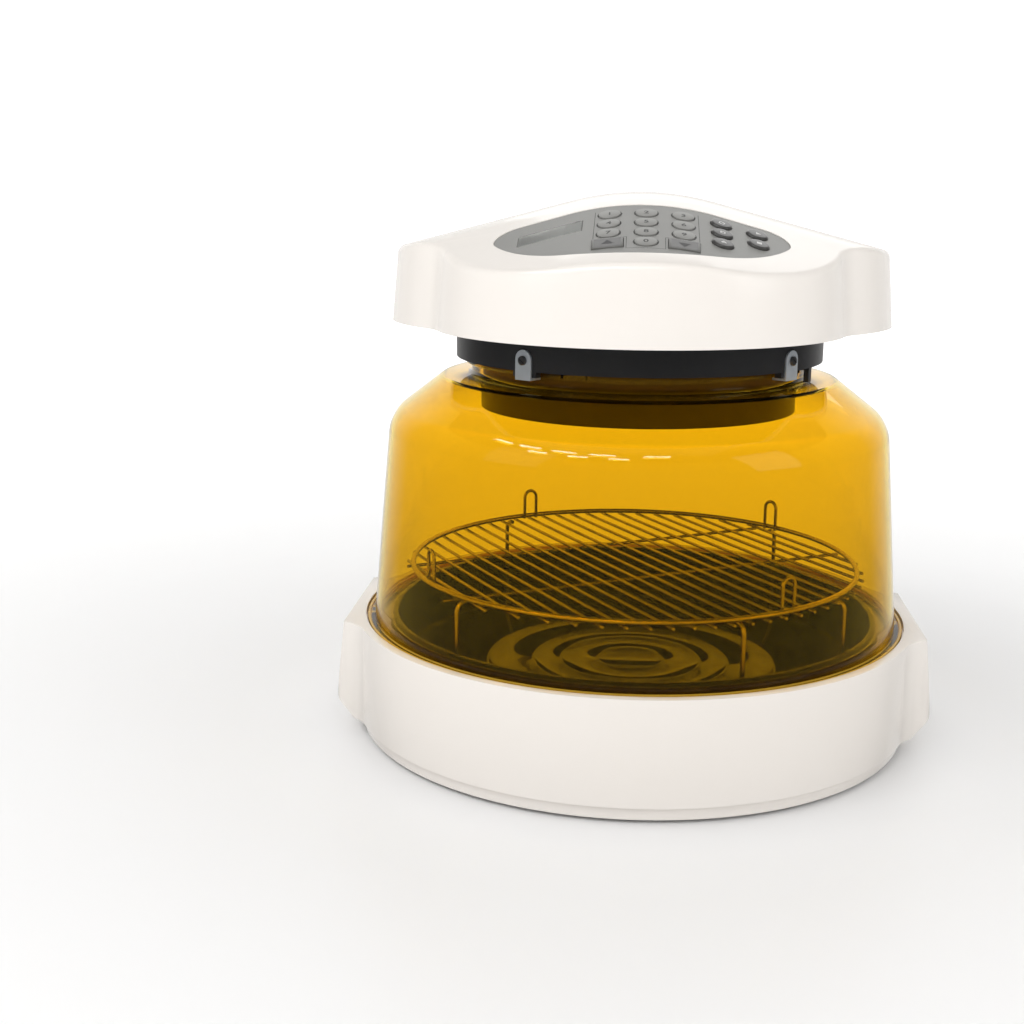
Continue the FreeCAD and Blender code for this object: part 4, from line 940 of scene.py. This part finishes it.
digit_places = {0: (keypad_x, key_row_y - 3 * key_pitch_y)}
for row in range(3):
    for column in range(3):
        digit_places[3 * row + column + 1] = (keypad_x + (column - 1) * key_pitch_x,
                                              key_row_y - row * key_pitch_y)
for digit, (x, y) in digit_places.items():
    body = "key_%d_pad" % digit
    key = disc_key("key_%d_disc" % digit, digit_rise, 0.00022, 3)
    fit(seat(key, x, y), key_grey, body, "key_grey", "key_%d" % digit)
    outline = flat_symbol("key_%d_outline" % digit, 64, key_outline_radius, key_outline_share)
    fit(seat(outline, x, y, -film_sink), black_print_and_shade, "head", "key_dark")
    mark = flat_text("key_%d_mark" % digit, str(digit), digit_height)
    fit(seat(mark, x, y, digit_rise), black_print_and_shade, body, "key_dark")
for name, x, turn_by in (("key_up", keypad_x - key_pitch_x, 0),
                         ("key_down", keypad_x + key_pitch_x, math.pi)):
    body = name + "_pad"
    key = bar_block(name + "_plate", (-arrow_half_width, -arrow_half_length, -key_foot),
                    (arrow_half_width, arrow_half_length, digit_rise))
    ease = key.modifiers.new("ease", "BEVEL")
    ease.width = plate_round
    ease.segments = 3
    bpy.ops.object.modifier_apply(modifier="ease")
    fit(seat(key, x, arrow_y), key_rim_grey, body, "key_dark", name)
    field = bar_block(name + "_field",
                      (-arrow_half_width + field_margin, -arrow_half_length + field_margin, 0),
                      (arrow_half_width - field_margin, arrow_half_length - field_margin, print_rise))
    fit(seat(field, x, arrow_y, digit_rise), key_dark, body, "key_dark")
    arrow = flat_symbol(name + "_arrow", 3, arrow_size, turn_by=turn_by)
    fit(seat(arrow, x, arrow_y, digit_rise + print_rise), black_print_and_shade, body, "key_dark")
symbols = {"key_mode_1": (32, 0.0019, 0.3, 0), "key_mode_2": (4, 0.0021, 0.3, math.radians(45)),
           "key_mode_3": (3, 0.0021, 0.3, 0), "key_run_1": (3, 0.0021, 0, math.radians(-90)),
           "key_run_2": (4, 0.0021, 0, math.radians(45))}
button_places = {"key_mode_%d" % (row + 1): (button_x, key_row_y - row * key_pitch_y)
                 for row in range(3)}
button_places.update({"key_run_%d" % (row + 1): (button_x + button_pitch_x,
                                                 key_row_y - row * key_pitch_y)
                      for row in range(2)})
for name, (x, y) in button_places.items():
    body = name + "_pad"
    key = disc_key(name + "_button", button_rise, 0.0014, 8)
    fit(seat(key, x, y), key_dark, body, "key_dark", name)
    corners, radius, ring, turn_by = symbols[name]
    mark = flat_symbol(name + "_mark", corners, radius, ring, turn_by)
    fit(seat(mark, x, y, button_rise), print_pale, body, "key_grey")

# Electrical pieces inside the head.
board_green = surface("board_green", (0.03, 0.16, 0.06), (0.025, 0.13, 0.05), 0.02, (0.35, 0.5),
                      0.001, 0.00003)
eased_copy("control_board", "head", "circuit", board_green)
glazed = surface("glazed", (0.80, 0.78, 0.72), (0.76, 0.74, 0.68), 0.006, (0.3, 0.45), 0.001, 0.00003)
eased_copy("thermostat", "head", "thermostat_body", glazed, edge=0.0003)
nylon_white = surface("nylon_white", (0.82, 0.82, 0.80), (0.78, 0.78, 0.76), 0.01, (0.4, 0.5), 0.001,
                      0.00003)
eased_copy("terminal_block", "head", "terminal_white", nylon_white)
